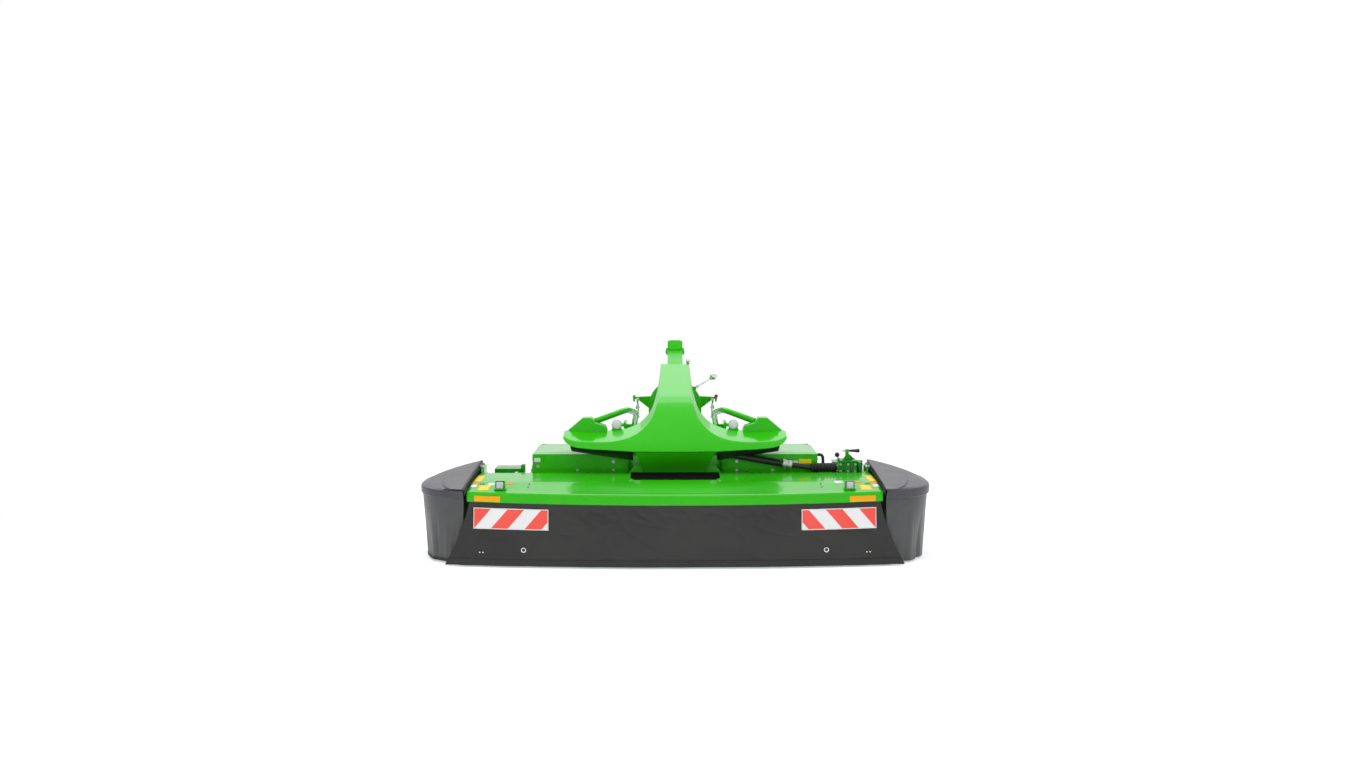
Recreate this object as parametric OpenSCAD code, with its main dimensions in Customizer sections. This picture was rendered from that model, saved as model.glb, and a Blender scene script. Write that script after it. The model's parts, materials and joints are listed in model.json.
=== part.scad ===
// Front mounted disc mower with tine conditioner, all sizes in millimetres.
// The frame: +Z up, the machine faces -Y, the origin lies on the ground
// under the middle of the machine's outline.

/* [Cutterbar] */
// Number of cutting discs
disc_count = 8; // [4:2:10]
// Distance between two disc axes
disc_pitch = 395; // [395:1:420]
// Disc centre line behind or before the origin
disc_y = -520; // [-540:5:-500]
// Half the long axis of the oval disc
disc_long = 210; // [190:1:215]
// Gap between the tips of one oval disc and the flank of the next
disc_gap = 35; // [28:1:50]
// Gap between a blade tip and the flank of the next disc
blade_gap = 10; // [7:1:16]
// Height of the disc rim above the ground
disc_z = 92; // [90:1:110]
// Depth of the cutterbar case, front to back
bar_depth = 270; // [230:5:290]
// Top of the cutterbar case above the ground
bar_top = 72; // [66:1:76]
// Thickness of the skid shoes
skid_t = 14; // [8:1:18]
// Height of the drums on the two outer discs
drum_h = 150; // [80:5:180]

/* [Hood] */
// How far the front hood reaches past the outermost disc axes
hood_over = 2.5; // [0:0.5:6]
// Y of the front hood's hinge
flap_hinge_y = -352; // [-360:1:-350]
// Z of the front hood's hinge
flap_hinge_z = 512; // [510:1:516]
// Most forward point of the front lip
lip_y = -1095; // [-1110:5:-1060]
// How far the lip's ends are swept back
lip_sweep = 150; // [100:5:170]
// Top edge of the lip
lip_top = 492; // [480:1:496]
// Bottom edge of the lip
lip_bottom = 426; // [410:1:440]
// Sheet thickness of the hood
hood_t = 4; // [3:0.5:6]

/* [Side hoods] */
// Gap between the front hood and a side hood
side_gap = 17; // [15:1:24]
// Width of a side hood
side_wide = 348; // [330:1:360]
// Front end of a side hood
side_front = -985; // [-1000:5:-960]
// Rear end of a side hood
side_rear = -135; // [-150:5:-110]
// Bottom of the side hood's rim
rim_bottom = 452; // [440:1:470]
// Top of the side hood's rim
rim_top = 503; // [495:1:515]
// Top of the arch at the rear inner corner
arch_top = 578; // [560:1:600]
// Wall thickness of the moulding
side_t = 7; // [5:0.5:10]

/* [Curtains] */
// Gap between the curtains and the ground
curtain_gap = 72; // [50:1:90]
// Thickness of the curtain fabric
curtain_t = 4; // [3:0.5:6]
// How far the front curtain's lower corners reach past the hood
curtain_flare = 129; // [100:1:140]

/* [Conditioner] */
// How far the conditioner housing stays inside the front hood's ends
cond_inset = 361; // [340:1:380]
// Y of the rotor axis
rotor_y = 30; // [25:1:40]
// Z of the rotor axis
rotor_z = 350; // [345:1:360]
// Radius of the circle that the tine tips draw
tine_reach = 238; // [200:1:240]
// Radius of the rotor tube
rotor_tube_r = 70; // [50:1:80]
// Tine pairs along one row
tine_cols = 12; // [6:1:14]
// Height of the housing top
cond_top = 644; // [640:1:660]

/* [Headstock] */
// Half the width of the headstock over its wings
wing_half = 793; // [780:1:800]
// Y of the three-point hitch pins
hitch_y = 1045; // [1035:1:1055]
// Z of the lower hitch pins
lower_pin_z = 690; // [680:1:700]
// Z of the top link hole
top_pin_z = 1300; // [1290:1:1310]
// Radius of a lower hitch pin
lower_pin_r = 14.3; // [14:0.05:14.5]
// Radius of the top link hole
top_hole_r = 12.85; // [12.7:0.05:13]

/* [Stands] */
// Distance of a parking stand from the conditioner housing
stand_off = 58; // [50:1:70]
// Y of the parking stands
stand_y = 395; // [380:1:400]

/* [Hidden] */
green = [0.16, 0.55, 0.08];
dark_green = [0.08, 0.34, 0.07];
black = [0.07, 0.07, 0.075];
steel = [0.62, 0.63, 0.64];
amber = [0.95, 0.6, 0.05];
$fn = 48;
// running clearance of pins and shafts
fit = 0.3;
disc_short = disc_pitch - disc_long - disc_gap;
blade_reach = disc_pitch - disc_short - blade_gap;
hood_half = disc_pitch * (disc_count - 1) / 2 + hood_over;
side_in = hood_half + side_gap;
curtain_wide = hood_half + curtain_flare;
cond_half = hood_half - cond_inset;
stand_x = cond_half + stand_off;

function mix(a, b, t) = a * (1 - t) + b * t;
function clamp01(t) = max(0, min(1, t));

// box from two corners
module block(low, high) {
    translate(low) cube(high - low);
}

// extrudes a YZ outline along X between two values
module along_x(x0, x1, outline) {
    translate([x0, 0, 0]) rotate([90, 0, 90]) linear_extrude(x1 - x0) polygon(outline);
}

// extrudes an XZ outline along Y between two values
module along_y(y0, y1, outline) {
    translate([0, y1, 0]) rotate([90, 0, 0]) linear_extrude(y1 - y0) polygon(outline);
}

// turns +Z to the line from a to b, and moves to a
module aim(a, b) {
    d = b - a;
    len = norm(d);
    turn = atan2(d[1], d[0]);
    tip = acos(d[2] / len);
    translate(a) rotate([0, tip, turn]) children();
}

module rod(a, b, r) {
    aim(a, b) cylinder(h = norm(b - a), r = r);
}

// cylinder along X between two values
module pin_x(x0, x1, y, z, r) {
    translate([x0, y, z]) rotate([0, 90, 0]) cylinder(h = x1 - x0, r = r);
}

module pin_y(y0, y1, x, z, r) {
    translate([x, y1, z]) rotate([90, 0, 0]) cylinder(h = y1 - y0, r = r);
}

// outline of a bent sheet: a polyline in a plane and the same line moved by t along its left side
function unit2(v) = v / norm(v);
function left_of(v) = [-v[1], v[0]];
function corner_shift(p, i) =
    let (n = len(p),
        a = i == 0 ? unit2(p[1] - p[0]) : unit2(p[i] - p[i - 1]),
        b = i == n - 1 ? a : unit2(p[i + 1] - p[i]),
        m = unit2(left_of(a) + left_of(b)))
    m / (m * left_of(a));
function sheet_outline(p, t) = concat(p, [for (i = [len(p) - 1:-1:0]) p[i] + t * corner_shift(p, i)]);

// faces of a closed sheet between two grids of points with the same rows and columns
function grid_faces(rows, cols) =
    let (n = rows * cols)
    concat(
        [for (i = [0:rows - 2], j = [0:cols - 2], k = [0, 1]) k == 0
            ? [i * cols + j, i * cols + j + 1, (i + 1) * cols + j + 1]
            : [i * cols + j, (i + 1) * cols + j + 1, (i + 1) * cols + j]],
        [for (i = [0:rows - 2], j = [0:cols - 2], k = [0, 1]) k == 0
            ? [n + i * cols + j, n + (i + 1) * cols + j + 1, n + i * cols + j + 1]
            : [n + i * cols + j, n + (i + 1) * cols + j, n + (i + 1) * cols + j + 1]],
        [for (j = [0:cols - 2], k = [0, 1]) k == 0 ? [j, n + j, n + j + 1] : [j, n + j + 1, j + 1]],
        [for (j = [0:cols - 2], k = [0, 1]) let (a = (rows - 1) * cols + j) k == 0
            ? [a, a + 1, n + a + 1] : [a, n + a + 1, n + a]],
        [for (i = [0:rows - 2], k = [0, 1]) let (a = i * cols, b = (i + 1) * cols) k == 0
            ? [a, b, n + b] : [a, n + b, n + a]],
        [for (i = [0:rows - 2], k = [0, 1]) let (a = i * cols + cols - 1, b = a + cols) k == 0
            ? [a, n + b, b] : [a, n + a, n + b]]);

function flat_list(g) = [for (row = g) for (p = row) p];

module grid_sheet(outer, inner) {
    polyhedron(points = concat(flat_list(outer), flat_list(inner)),
        faces = grid_faces(len(outer), len(outer[0])), convexity = 6);
}

// solid through a list of closed sections with the same number of points
module loft(sections) {
    n = len(sections);
    k = len(sections[0]);
    sides = [for (i = [0:n - 2], j = [0:k - 1], h = [0, 1])
        let (a = i * k + j, b = i * k + (j + 1) % k, c = a + k, d = b + k)
        h == 0 ? [a, b, d] : [a, d, c]];
    polyhedron(points = flat_list(sections),
        faces = concat([[for (j = [k - 1:-1:0]) j]], sides, [[for (j = [0:k - 1]) (n - 1) * k + j]]),
        convexity = 8);
}

// path with its corners rounded over a length on either side
function rounded(p, reach, steps) = concat([p[0]],
    [for (i = [1:len(p) - 2], k = [0:steps])
        let (a = p[i] - reach * unit2(p[i] - p[i - 1]), b = p[i] + reach * unit2(p[i + 1] - p[i]), t = k / steps)
        (1 - t) * (1 - t) * a + 2 * t * (1 - t) * p[i] + t * t * b],
    [p[len(p) - 1]]);

// round tube that follows a path, with mitred rings; the path never runs straight up
function along(p, i) = let (n = len(p))
    unit2((i == 0 ? [0, 0, 0] : unit2(p[i] - p[i - 1])) + (i == n - 1 ? [0, 0, 0] : unit2(p[i + 1] - p[i])));
module tube(p, r, sides) {
    loft([for (i = [0:len(p) - 1]) let (d = along(p, i), u = unit2(cross(d, [0, 0, 1])), v = cross(u, d))
        [for (k = [0:sides - 1]) p[i] + r * (cos(360 * k / sides) * u + sin(360 * k / sides) * v)]]);
}

// Cutterbar

disc_x0 = -disc_pitch * (disc_count - 1) / 2;
function disc_x(i) = disc_x0 + disc_pitch * i;
bar_half = -disc_x0 + 70;
bar_front = disc_y - bar_depth / 2;
bar_back = disc_y + bar_depth / 2;
spindle_r = 20;
spindle_top = disc_z + 24;
hub_bottom = disc_z - 8;

module cutterbar() {
    case_outline = [[bar_front, 34], [bar_front + 30, skid_t + 8], [bar_back - 20, skid_t + 8],
        [bar_back, 30], [bar_back, bar_top - 12], [bar_back - 30, bar_top],
        [bar_front + 50, bar_top], [bar_front, 66]];
    color(dark_green) {
        along_x(-bar_half, bar_half, case_outline);
        for (i = [0:disc_count - 1]) translate([disc_x(i), disc_y, 0]) {
            translate([0, 0, bar_top - 10]) cylinder(h = hub_bottom - fit - bar_top + 10, r = 62);
            translate([0, 0, 40]) cylinder(h = spindle_top - 40, r = spindle_r);
        }
    }
}

skid_front_rise = 40;
module skid_shoes() {
    shoe = [[bar_front - 36, skid_front_rise], [bar_front - 30, skid_front_rise + 6],
        [bar_front + 24, skid_t + 7.7], [bar_back - 40, skid_t + 7.7], [bar_back - 20, skid_t],
        [bar_back - 10, 6], [bar_back - 40, 0], [bar_front + 50, 0], [bar_front + 10, 10]];
    color(steel) for (i = [0:disc_count - 1])
        along_x(disc_x(i) - 130, disc_x(i) + 130, shoe);
}

module rock_guards() {
    color(dark_green) for (i = [0:disc_count - 1])
        translate([disc_x(i), 0, 48]) linear_extrude(16) difference() {
            translate([0, disc_y]) circle(r = bar_depth / 2 + 42, $fn = 64);
            translate([-400, bar_front - fit]) square([800, 800]);
        }
}

// Oval discs with two blades each, phased so that neighbours clear each other

oval = [for (a = [0:7.5:352.5]) [disc_long * cos(a), disc_short * sin(a)]];
blade_w = 46;
blade_t = 5;
blade_in = disc_long - 62;

module disc(i, drum) {
    turn = i % 2 == 0 ? 0 : 90;
    color(drum ? green : dark_green) translate([disc_x(i), disc_y, 0]) rotate([0, 0, turn]) difference() {
        union() {
            translate([0, 0, disc_z]) linear_extrude(8) polygon(oval);
            translate([0, 0, hub_bottom]) cylinder(h = 10, r = 58);
            translate([0, 0, disc_z + 7]) cylinder(h = 22, r1 = 120, r2 = 74);
            translate([0, 0, disc_z + 28]) cylinder(h = drum ? drum_h : 14, r1 = drum ? 108 : 52, r2 = drum ? 92 : 40);
            for (s = [0, 180]) rotate([0, 0, s]) {
                translate([blade_in - 20, -blade_w / 2, disc_z - blade_t])
                    cube([blade_reach - blade_in + 18, blade_w, blade_t]);
                translate([disc_long - 34, 0, disc_z - blade_t - 5]) cylinder(h = 24, r = 13);
            }
        }
        translate([0, 0, hub_bottom - 1]) cylinder(h = spindle_top - hub_bottom + 3, r = spindle_r + fit);
    }
}

// Main beam and end frames

beam_front = -332;
beam_back = -226;
beam_low = 402;
beam_top = 500;
end_x0 = hood_half - 17;
end_x1 = hood_half - 3;
end_front = -268;
end_back = -104;
module main_beam() {
    color(green) difference() {
        block([-end_x0 + fit, beam_front, beam_low], [end_x0 - fit, beam_back, beam_top]);
        block([-end_x0, beam_front + 8, beam_low + 8], [-0.3 * end_x0, beam_back - 8, beam_top - 8]);
        block([0.3 * end_x0, beam_front + 8, beam_low + 8], [end_x0, beam_back - 8, beam_top - 8]);
    }
}

module end_frame(s) {
    lug_back = side_hinge_back + 4;
    plate = [[end_front, 26], [end_back, 26], [end_back, 420], [end_back + 40, 470], [lug_back, 500],
        [lug_back, side_hinge_z - 6], [side_hinge_front - 4, side_hinge_z - 6], [side_hinge_front - 4, 520],
        [beam_front, 500], [beam_front, 400], [end_front, 380]];
    color(green) union() {
        along_x(s > 0 ? end_x0 : -end_x1, s > 0 ? end_x1 : -end_x0, plate);
        // foot that runs forward under the blades to the cutterbar's end
        block([s > 0 ? end_x0 - 60 : -end_x1 - 6, bar_back + fit, 26], [s > 0 ? end_x1 + 6 : -end_x0 + 60, end_front + 20, 60]);
        // gear case leg on the driven side, plain gusset on the other
        if (s > 0) block([end_x0 - 52, end_front + 8, 60], [end_x0, end_front + 110, beam_low - fit]);
        else block([-end_x0, end_front + 40, 60], [-end_x0 + 16, end_front + 110, beam_low - fit]);
    }
}

// Conditioner housing

cover_front = -275;
cover_back = 258;
sheet = 5;
notch_half = 335;
notch_back = -60;
guard_low = 395;
guard_back = 520;
side_plate_t = 8;
side_back = 440;

module conditioner_cover() {
    color(green) difference() {
        along_x(-cond_half, cond_half, sheet_outline([[cover_back, cond_top], [cover_front, cond_top],
            [cover_front, beam_top + 1]], sheet));
        block([-notch_half, cover_front - 10, beam_top - 20], [notch_half, notch_back, cond_top + 20]);
        // corner chamfers of the top
        for (s = [-1, 1]) translate([s * cond_half, cover_back, cond_top - 20])
            rotate([0, 0, 45]) translate([-50, -50, 0]) cube([100, 100, 40]);
    }
}

module conditioner_sides() {
    outline = [[cover_front + sheet + fit, beam_top + fit], [cover_front + sheet + fit, cond_top - sheet - fit],
        [cover_back - 60, cond_top - sheet - fit], [side_back, 560], [side_back, 150], [rotor_y + 160, 120],
        [rotor_y - 120, 120], [beam_back + fit, 200], [beam_back + fit, beam_top + fit]];
    color(green) for (s = [-1, 1]) difference() {
        along_x(s > 0 ? cond_half - side_plate_t : -cond_half, s > 0 ? cond_half : -cond_half + side_plate_t, outline);
        pin_x(-cond_half - 5, cond_half + 5, rotor_y, rotor_z, 36);
    }
}

module rotor_bearings() {
    color(dark_green) for (s = [-1, 1]) difference() {
        union() {
            pin_x(s > 0 ? cond_half : -cond_half - 14, s > 0 ? cond_half + 14 : -cond_half, rotor_y, rotor_z, 70);
            pin_x(s > 0 ? cond_half + 10 : -cond_half - 44, s > 0 ? cond_half + 44 : -cond_half - 10, rotor_y, rotor_z, 44);
        }
        pin_x(s > 0 ? cond_half - 1 : -cond_half - 36, s > 0 ? cond_half + 36 : -cond_half + 1, rotor_y, rotor_z, spindle_r + fit);
    }
}

module rear_guard() {
    half = cond_half - side_plate_t - fit;
    color(green) along_x(-half, half, sheet_outline([[guard_back, guard_low], [guard_back - 22, 500],
        [guard_back - 95, 590], [cover_back + 2, cond_top - 1]], sheet));
}

// Conditioner rotor: a tube with rows of V-shaped tines

module tine_rotor() {
    half = cond_half - side_plate_t - 12;
    row_count = 4;
    step = (2 * half - 160) / (tine_cols - 1);
    color(dark_green) union() {
        pin_x(-half, half, rotor_y, rotor_z, rotor_tube_r);
        pin_x(-cond_half - 34, cond_half + 34, rotor_y, rotor_z, spindle_r);
        for (r = [0:row_count - 1], c = [0:tine_cols - 1])
            translate([-half + 80 + c * step + (r % 2) * step / 2 - step / 4, rotor_y, rotor_z])
                rotate([r * 360 / row_count + 12 * (c % 3), 0, 0]) tine();
    }
}

module tine() {
    // flat steel V: two prongs that lean apart, on a foot welded to the tube
    tip = tine_reach;
    rotate([90, 0, 0]) translate([0, 0, -6]) linear_extrude(12)
        polygon([[-20, rotor_tube_r - 12], [20, rotor_tube_r - 12], [48, tip - 4], [26, tip - 1],
            [0, rotor_tube_r + 60], [-26, tip - 1], [-48, tip - 4]]);
}

// Headstock cover: sections across the machine, each a closed outline in Y and Z

profile_y = [[680, -452], [690, -450], [735, -445], [800, -415], [872, -340], [948, -215],
    [1012, -30], [1078, 190], [1150, 420], [1222, 640]];
crease_z = [[0, 1222], [92, 1222], [100, 1040], [108, 985], [118, 945], [133, 915], [152, 886],
    [176, 855], [210, 822], [250, 788], [300, 763], [370, 748], [480, 737], [600, 729], [690, 733],
    [740, 748], [770, 775], [786, 784], [793, 782]];
flank_y = [[0, 641], [92, 641], [100, 600], [108, 400], [118, 200], [133, 60], [152, -60], [176, -130],
    [210, -180], [250, -210], [300, -228], [370, -236], [600, -236], [690, -230], [740, -225],
    [770, -222], [786, -225], [793, -235]];
flank_z = [[0, 1223], [92, 1223], [100, 1208], [108, 1143], [118, 1080], [133, 1032], [152, 995], [176, 948],
    [210, 905], [250, 866], [300, 826], [370, 812], [480, 809], [690, 808], [740, 806], [770, 800],
    [786, 792], [793, 788]];
edge_z = [[0, 686], [300, 688], [440, 696], [580, 700], [690, 709], [740, 724], [770, 750],
    [786, 768], [793, 776]];
wing_x = [0, 60, 92, 100, 108, 118, 133, 152, 176, 210, 250, 300, 370, 480, 600, 690, 740, 770, 786, 793];
face_steps = 8;
neck_under = [[646, 1040], [330, 960], [60, 880], [-90, 800], [-150, 700]];
wing_sweep = 100;

function headstock_section(x) =
    let (a = abs(x),
        zb = lookup(a, edge_z),
        zc = lookup(a, crease_z),
        fy = lookup(a, flank_y),
        fz = lookup(a, flank_z),
        sweep = wing_sweep * pow(a / wing_half, 2),
        g = clamp01((fy + 240) / 880),
        wall_y = fy + 34)
    concat(
        [for (k = [0:face_steps]) let (z = mix(zb, zc, k / face_steps)) [x, lookup(z, profile_y) + sweep, z]],
        [[x, fy, fz], [x, fy + 8, fz - 4]],
        [for (k = [0:4]) let (w = [wall_y, mix(fz - 12, zb, (k + 1) / 5)])
            [x, mix(w[0], neck_under[k][0], g), mix(w[1], neck_under[k][1], g)]]);

module headstock_cover() {
    k = wing_half / wing_x[len(wing_x) - 1];
    right = [for (x = wing_x) x * k];
    left = [for (i = [len(right) - 1:-1:1]) -right[i]];
    color(green) loft([for (x = concat(left, right)) headstock_section(x)]);
}

// Keel between the headstock and the main beam, with the sloping chin plate in front
keel_top = 682;
module headstock_keel() {
    top = [[-282, -440], [282, -440], [282, -215], [150, -155], [-150, -155], [-282, -215]];
    low = [[-205, -322], [205, -322], [205, -240], [150, -236], [-150, -236], [-205, -240]];
    color(green) loft([[for (p = low) [p[0], p[1], beam_top + fit]], [for (p = top) [p[0], p[1], keel_top]]]);
}

// Dark panels under the wings
module wing_underpanels() {
    color(black) for (s = [-1, 1]) difference() {
        xs = s > 0 ? [300, 370, 480, 600, 690, 740] : [-740, -690, -600, -480, -370, -300];
        loft([for (x = xs) let (a = abs(x), top = lookup(a, edge_z) - 1.5 * fit,
                front = lookup(top, profile_y) + wing_sweep * pow(a / wing_half, 2) + 12,
                low = mix(578, 664, (a - 300) / 440))
            [[x, front, top], [x, front + 24, top - 24], [x, -300, low], [x, -281, low],
                [x, -281, max(646, low + 3)], [x, -212, max(650, low + 5)], [x, -206, top]]]);
        rod(shaft_a - [1, 0, 0], shaft_b, 24 + fit);
    }
}

// Mast with the top link clevis, at the neck's rear end
ear_in = 30;
ear_t = 22;
module hitch_mast() {
    ear = [[650, 1050], [650, 1222], [780, 1262], [930, 1338], [1015, 1352], [1062, 1316], [1056, 1270],
        [960, 1150], [880, 1082.3], [790, 1082.3]];
    color(green) difference() {
        union() {
            for (s = [-1, 1]) along_x(s > 0 ? ear_in : -ear_in - ear_t, s > 0 ? ear_in + ear_t : -ear_in, ear);
            block([-ear_in - 1, 660, 1060], [ear_in + 1, 780, 1200]);
            block([-92, 649 + fit, 1046], [92, 666, 1216]);
            pin_x(-ear_in - ear_t - 10, -ear_in - 2, hitch_y - 30, top_pin_z, 30);
            pin_x(ear_in + 2, ear_in + ear_t + 10, hitch_y - 30, top_pin_z, 30);
        }
        pin_x(-80, 80, hitch_y - 30, top_pin_z, top_hole_r);
    }
}

arch_y0 = 800;
arch_y1 = 860;
arch_out = 212;
arch_in = 130;
arch_mid = 870;
module hitch_arch() {
    color(green) union() {
        translate([0, arch_y1, 0]) rotate([90, 0, 0]) linear_extrude(arch_y1 - arch_y0) difference() {
            union() {
                translate([0, arch_mid]) circle(r = arch_out, $fn = 96);
                translate([-arch_out, lower_pin_z - 40]) square([2 * arch_out, arch_mid - lower_pin_z + 40]);
            }
            translate([0, arch_mid]) circle(r = arch_in, $fn = 72);
            translate([-arch_in, 0]) square([2 * arch_in, arch_mid]);
        }
        // side arms with hook plates for chains and hoses
        for (s = [-1, 1]) {
            block([s > 0 ? arch_out - 20 : -330, arch_y0 + 14, 932], [s > 0 ? 330 : -arch_out + 20, arch_y0 + 34, 952]);
            block([s > 0 ? 296 : -330, arch_y0 + 10, 812], [s > 0 ? 330 : -296, arch_y0 + 26, 952]);
        }
    }
}

pin_plate_in = 392;
pin_shoulder = 412;
pin_len = 72;
module lower_hitch() {
    plate = [[760, 640], [760, 745], [900, 750], [hitch_y + 22, lower_pin_z + 36], [hitch_y + 40, lower_pin_z],
        [hitch_y + 22, lower_pin_z - 36], [900, 640]];
    color(green) for (s = [-1, 1]) union() {
        block([s > 0 ? arch_out + fit : -pin_plate_in, arch_y0 + 2, 655], [s > 0 ? pin_plate_in : -arch_out - fit, arch_y1 - 2, 725]);
        along_x(s > 0 ? pin_plate_in : -pin_shoulder, s > 0 ? pin_shoulder : -pin_plate_in, plate);
        pin_x(s > 0 ? pin_shoulder - 1 : -pin_shoulder - pin_len, s > 0 ? pin_shoulder + pin_len : -pin_shoulder + 1,
            hitch_y, lower_pin_z, lower_pin_r);
    }
}

// Bent tubes from the wing ends back to the lower hitch
strut_r = 22.5;
strut_bend = 70;
strut_path = [[587, -118.8, 861], [360, 150, 918], [300, 420, 862], [330, 793, 705]];
module strut(s) {
    pts = [for (p = strut_path) [s * p[0], p[1], p[2]]];
    color(green) tube(rounded(pts, strut_bend, 4), strut_r, 16);
}

bracket_y0 = -231;
bracket_y1 = -134;
module wing_brackets() {
    gusset = [[772, 808.4], [700, 870], [657, 903], [600, 905], [556, 880], [490, 850], [490, 809.4]];
    color(green) for (s = [-1, 1]) along_y(bracket_y0, bracket_y1, [for (p = gusset) [s * p[0], p[1]]]);
}

lamp_x = 421;
module wing_lamps() {
    color(steel) for (s = [-1, 1]) translate([s * lamp_x, 0, 0]) {
        block([-12, -197.6, 778], [12, -186, 826]);
        translate([0, -190, 846]) rotate([90, 0, 0]) cylinder(h = 26, r1 = 38, r2 = 34);
        translate([0, -170, 846]) rotate([90, 0, 0]) cylinder(h = 22, r = 38);
    }
}

// Drive: centre gearbox, guarded cross shaft, bellows and side gearbox
gearbox_y0 = 40;
gearbox_y1 = 262;
pto_z = 738;
pto_r = 17.4;
pto_len = 90;
module centre_gearbox() {
    color(dark_green) union() {
        block([-100, gearbox_y0, cond_top + 0.5], [100, gearbox_y1 - 8, 686]);
        block([-84, gearbox_y0 + 14, 680], [84, gearbox_y1 - 14, 800]);
        pin_y(gearbox_y1 - 20, gearbox_y1 + 40, 0, pto_z, 48);
    }
}

module input_shaft() {
    color(steel) pin_y(gearbox_y1 + 40.2, gearbox_y1 + 40.2 + pto_len, 0, pto_z, pto_r);
}

shaft_a = [420, -305, 641];
shaft_b = [800, -308, 574];
shaft_c = [cond_half - 56, -308, 552];
bellows_x0 = shaft_c[0] + 2.7;
bellows_x1 = cond_half + 148;
bellows_z = 552;
module cross_shaft() {
    color(black) union() {
        rod(shaft_a, shaft_b, 24);
        rod(shaft_b, shaft_c, 18);
        rod(mix(shaft_a, shaft_b, 0.94), mix(shaft_b, shaft_c, 0.12), 29);
    }
}

module shaft_bellows() {
    ribs = 9;
    pitch = (bellows_x1 - bellows_x0) / ribs;
    outline = concat([[0, 0]], [for (i = [0:ribs - 1], k = [0, 1, 2])
        [[20, 28, 20][k], i * pitch + [0, 0.5, 1][k] * pitch]], [[0, ribs * pitch]]);
    color(black) translate([bellows_x0, shaft_c[1], bellows_z]) rotate([0, 90, 0])
        rotate_extrude() polygon(outline);
}

module side_gearbox() {
    color(green) union() {
        block([bellows_x1 + fit, -328, beam_top + fit], [hood_half - 33, -150, 516]);
        block([bellows_x1 + fit, -320, 515], [hood_half - 85, -190, 598]);
        pin_x(bellows_x1 - 40, bellows_x1 + 10, -240, 556, 30);
        block([hood_half - 86, -300, 515], [hood_half - 45, -210, 560]);
        block([bellows_x1 + 60, -262, 597], [bellows_x1 + 84, -238, 640]);
    }
}

module gear_lever() {
    foot = [bellows_x1 + 8, -290, 601];
    knob = [bellows_x1 - 10, -300, 636];
    color(black) aim(foot, knob) {
        cylinder(h = norm(knob - foot), r = 6);
        translate([0, 0, norm(knob - foot) + 10]) sphere(r = 17);
    }
}

module baffle_crank() {
    color(green) union() {
        pin_x(bellows_x1 + 40, bellows_x1 + 100, -250, 662, 10);
        block([bellows_x1 + 62, -262, 640.5], [bellows_x1 + 82, -238, 672]);
    }
    color(black) pin_x(bellows_x1 + 100.2, bellows_x1 + 180, -250, 662, 11);
}

module baffle_bracket() {
    color(green) {
        block([85 - hood_half, -250, beam_top + fit], [-cond_half - 86, -80, 534]);
        block([-cond_half - 87, -240, beam_top + fit], [-cond_half - 62, -170, 560]);
    }
}

// Hinges of the front hood and the side hoods
flap_knuckle_x = [-1, -0.52, 0.52, 1] * (hood_half - 305);
knuckle_r = 11;
pin_r = 6;
module flap_hinge_pins() {
    color(steel) for (x = flap_knuckle_x) union() {
        pin_x(x - 62, x + 62, flap_hinge_y, flap_hinge_z, pin_r);
        for (e = [-62, 42]) difference() {
            block([x + e, flap_hinge_y - 11, flap_hinge_z - 16], [x + e + 20, beam_front + 30, flap_hinge_z + 11]);
            block([x + e - 1, beam_front - fit, flap_hinge_z - 30], [x + e + 21, beam_front + 60, beam_top + fit]);
        }
    }
}

module flap_knuckles() {
    color(green) for (x = flap_knuckle_x) difference() {
        union() {
            pin_x(x - 40, x + 40, flap_hinge_y, flap_hinge_z, knuckle_r);
            block([x - 40, flap_hinge_y - 40, flap_hinge_z + 1], [x + 40, flap_hinge_y - 2, flap_hinge_z + 7.5]);
        }
        pin_x(x - 41, x + 41, flap_hinge_y, flap_hinge_z, pin_r + fit);
    }
}

side_hinge_x = side_in - 8;
side_hinge_z = 561;
side_pin_r = 5;
side_knuckle_r = 9;
side_hinge_front = -300;
side_hinge_back = -160;
module side_hinge_pins() {
    color(steel) for (s = [-1, 1]) union() {
        pin_y(side_hinge_front, side_hinge_back, s * side_hinge_x, side_hinge_z, side_pin_r);
        for (y = [side_hinge_front, side_hinge_back - 14])
            block([s > 0 ? end_x1 : -side_hinge_x - 5, y, side_hinge_z - 10],
                [s > 0 ? side_hinge_x + 5 : -end_x1, y + 14, side_hinge_z + 2]);
    }
}

// Front hood: a bent sheet that bows forward in the middle
function lip_line(x) = lip_y + lip_sweep * pow(x / hood_half, 2);
hood_cols = 16;
function hood_x(j) = mix(-hood_half, hood_half, j / hood_cols);
// rows from the hinge to the lip's bottom: share of the depth, and height
function hood_row(x, i, off) =
    let (front = lip_line(x),
        back = flap_hinge_y - 14,
        y = [back, mix(back, front, 0.55), mix(back, front, 0.80), front + 26, front + 6, front, front][i],
        z = [flap_hinge_z + 12, flap_hinge_z + 8, flap_hinge_z + 1, lip_top + 10, lip_top + 2, lip_top - 8, lip_bottom][i],
        n = [[0, -1], [0, -1], [0, -1], [0.2, -1], [0.7, -0.7], [1, 0], [1, 0]][i])
    [x, y + off * n[0], z + off * n[1]];

module front_hood() {
    color(green) grid_sheet(
        [for (i = [0:6]) [for (j = [0:hood_cols]) hood_row(hood_x(j), i, 0)]],
        [for (i = [0:6]) [for (j = [0:hood_cols]) hood_row(hood_x(j), i, hood_t)]]);
}

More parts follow.
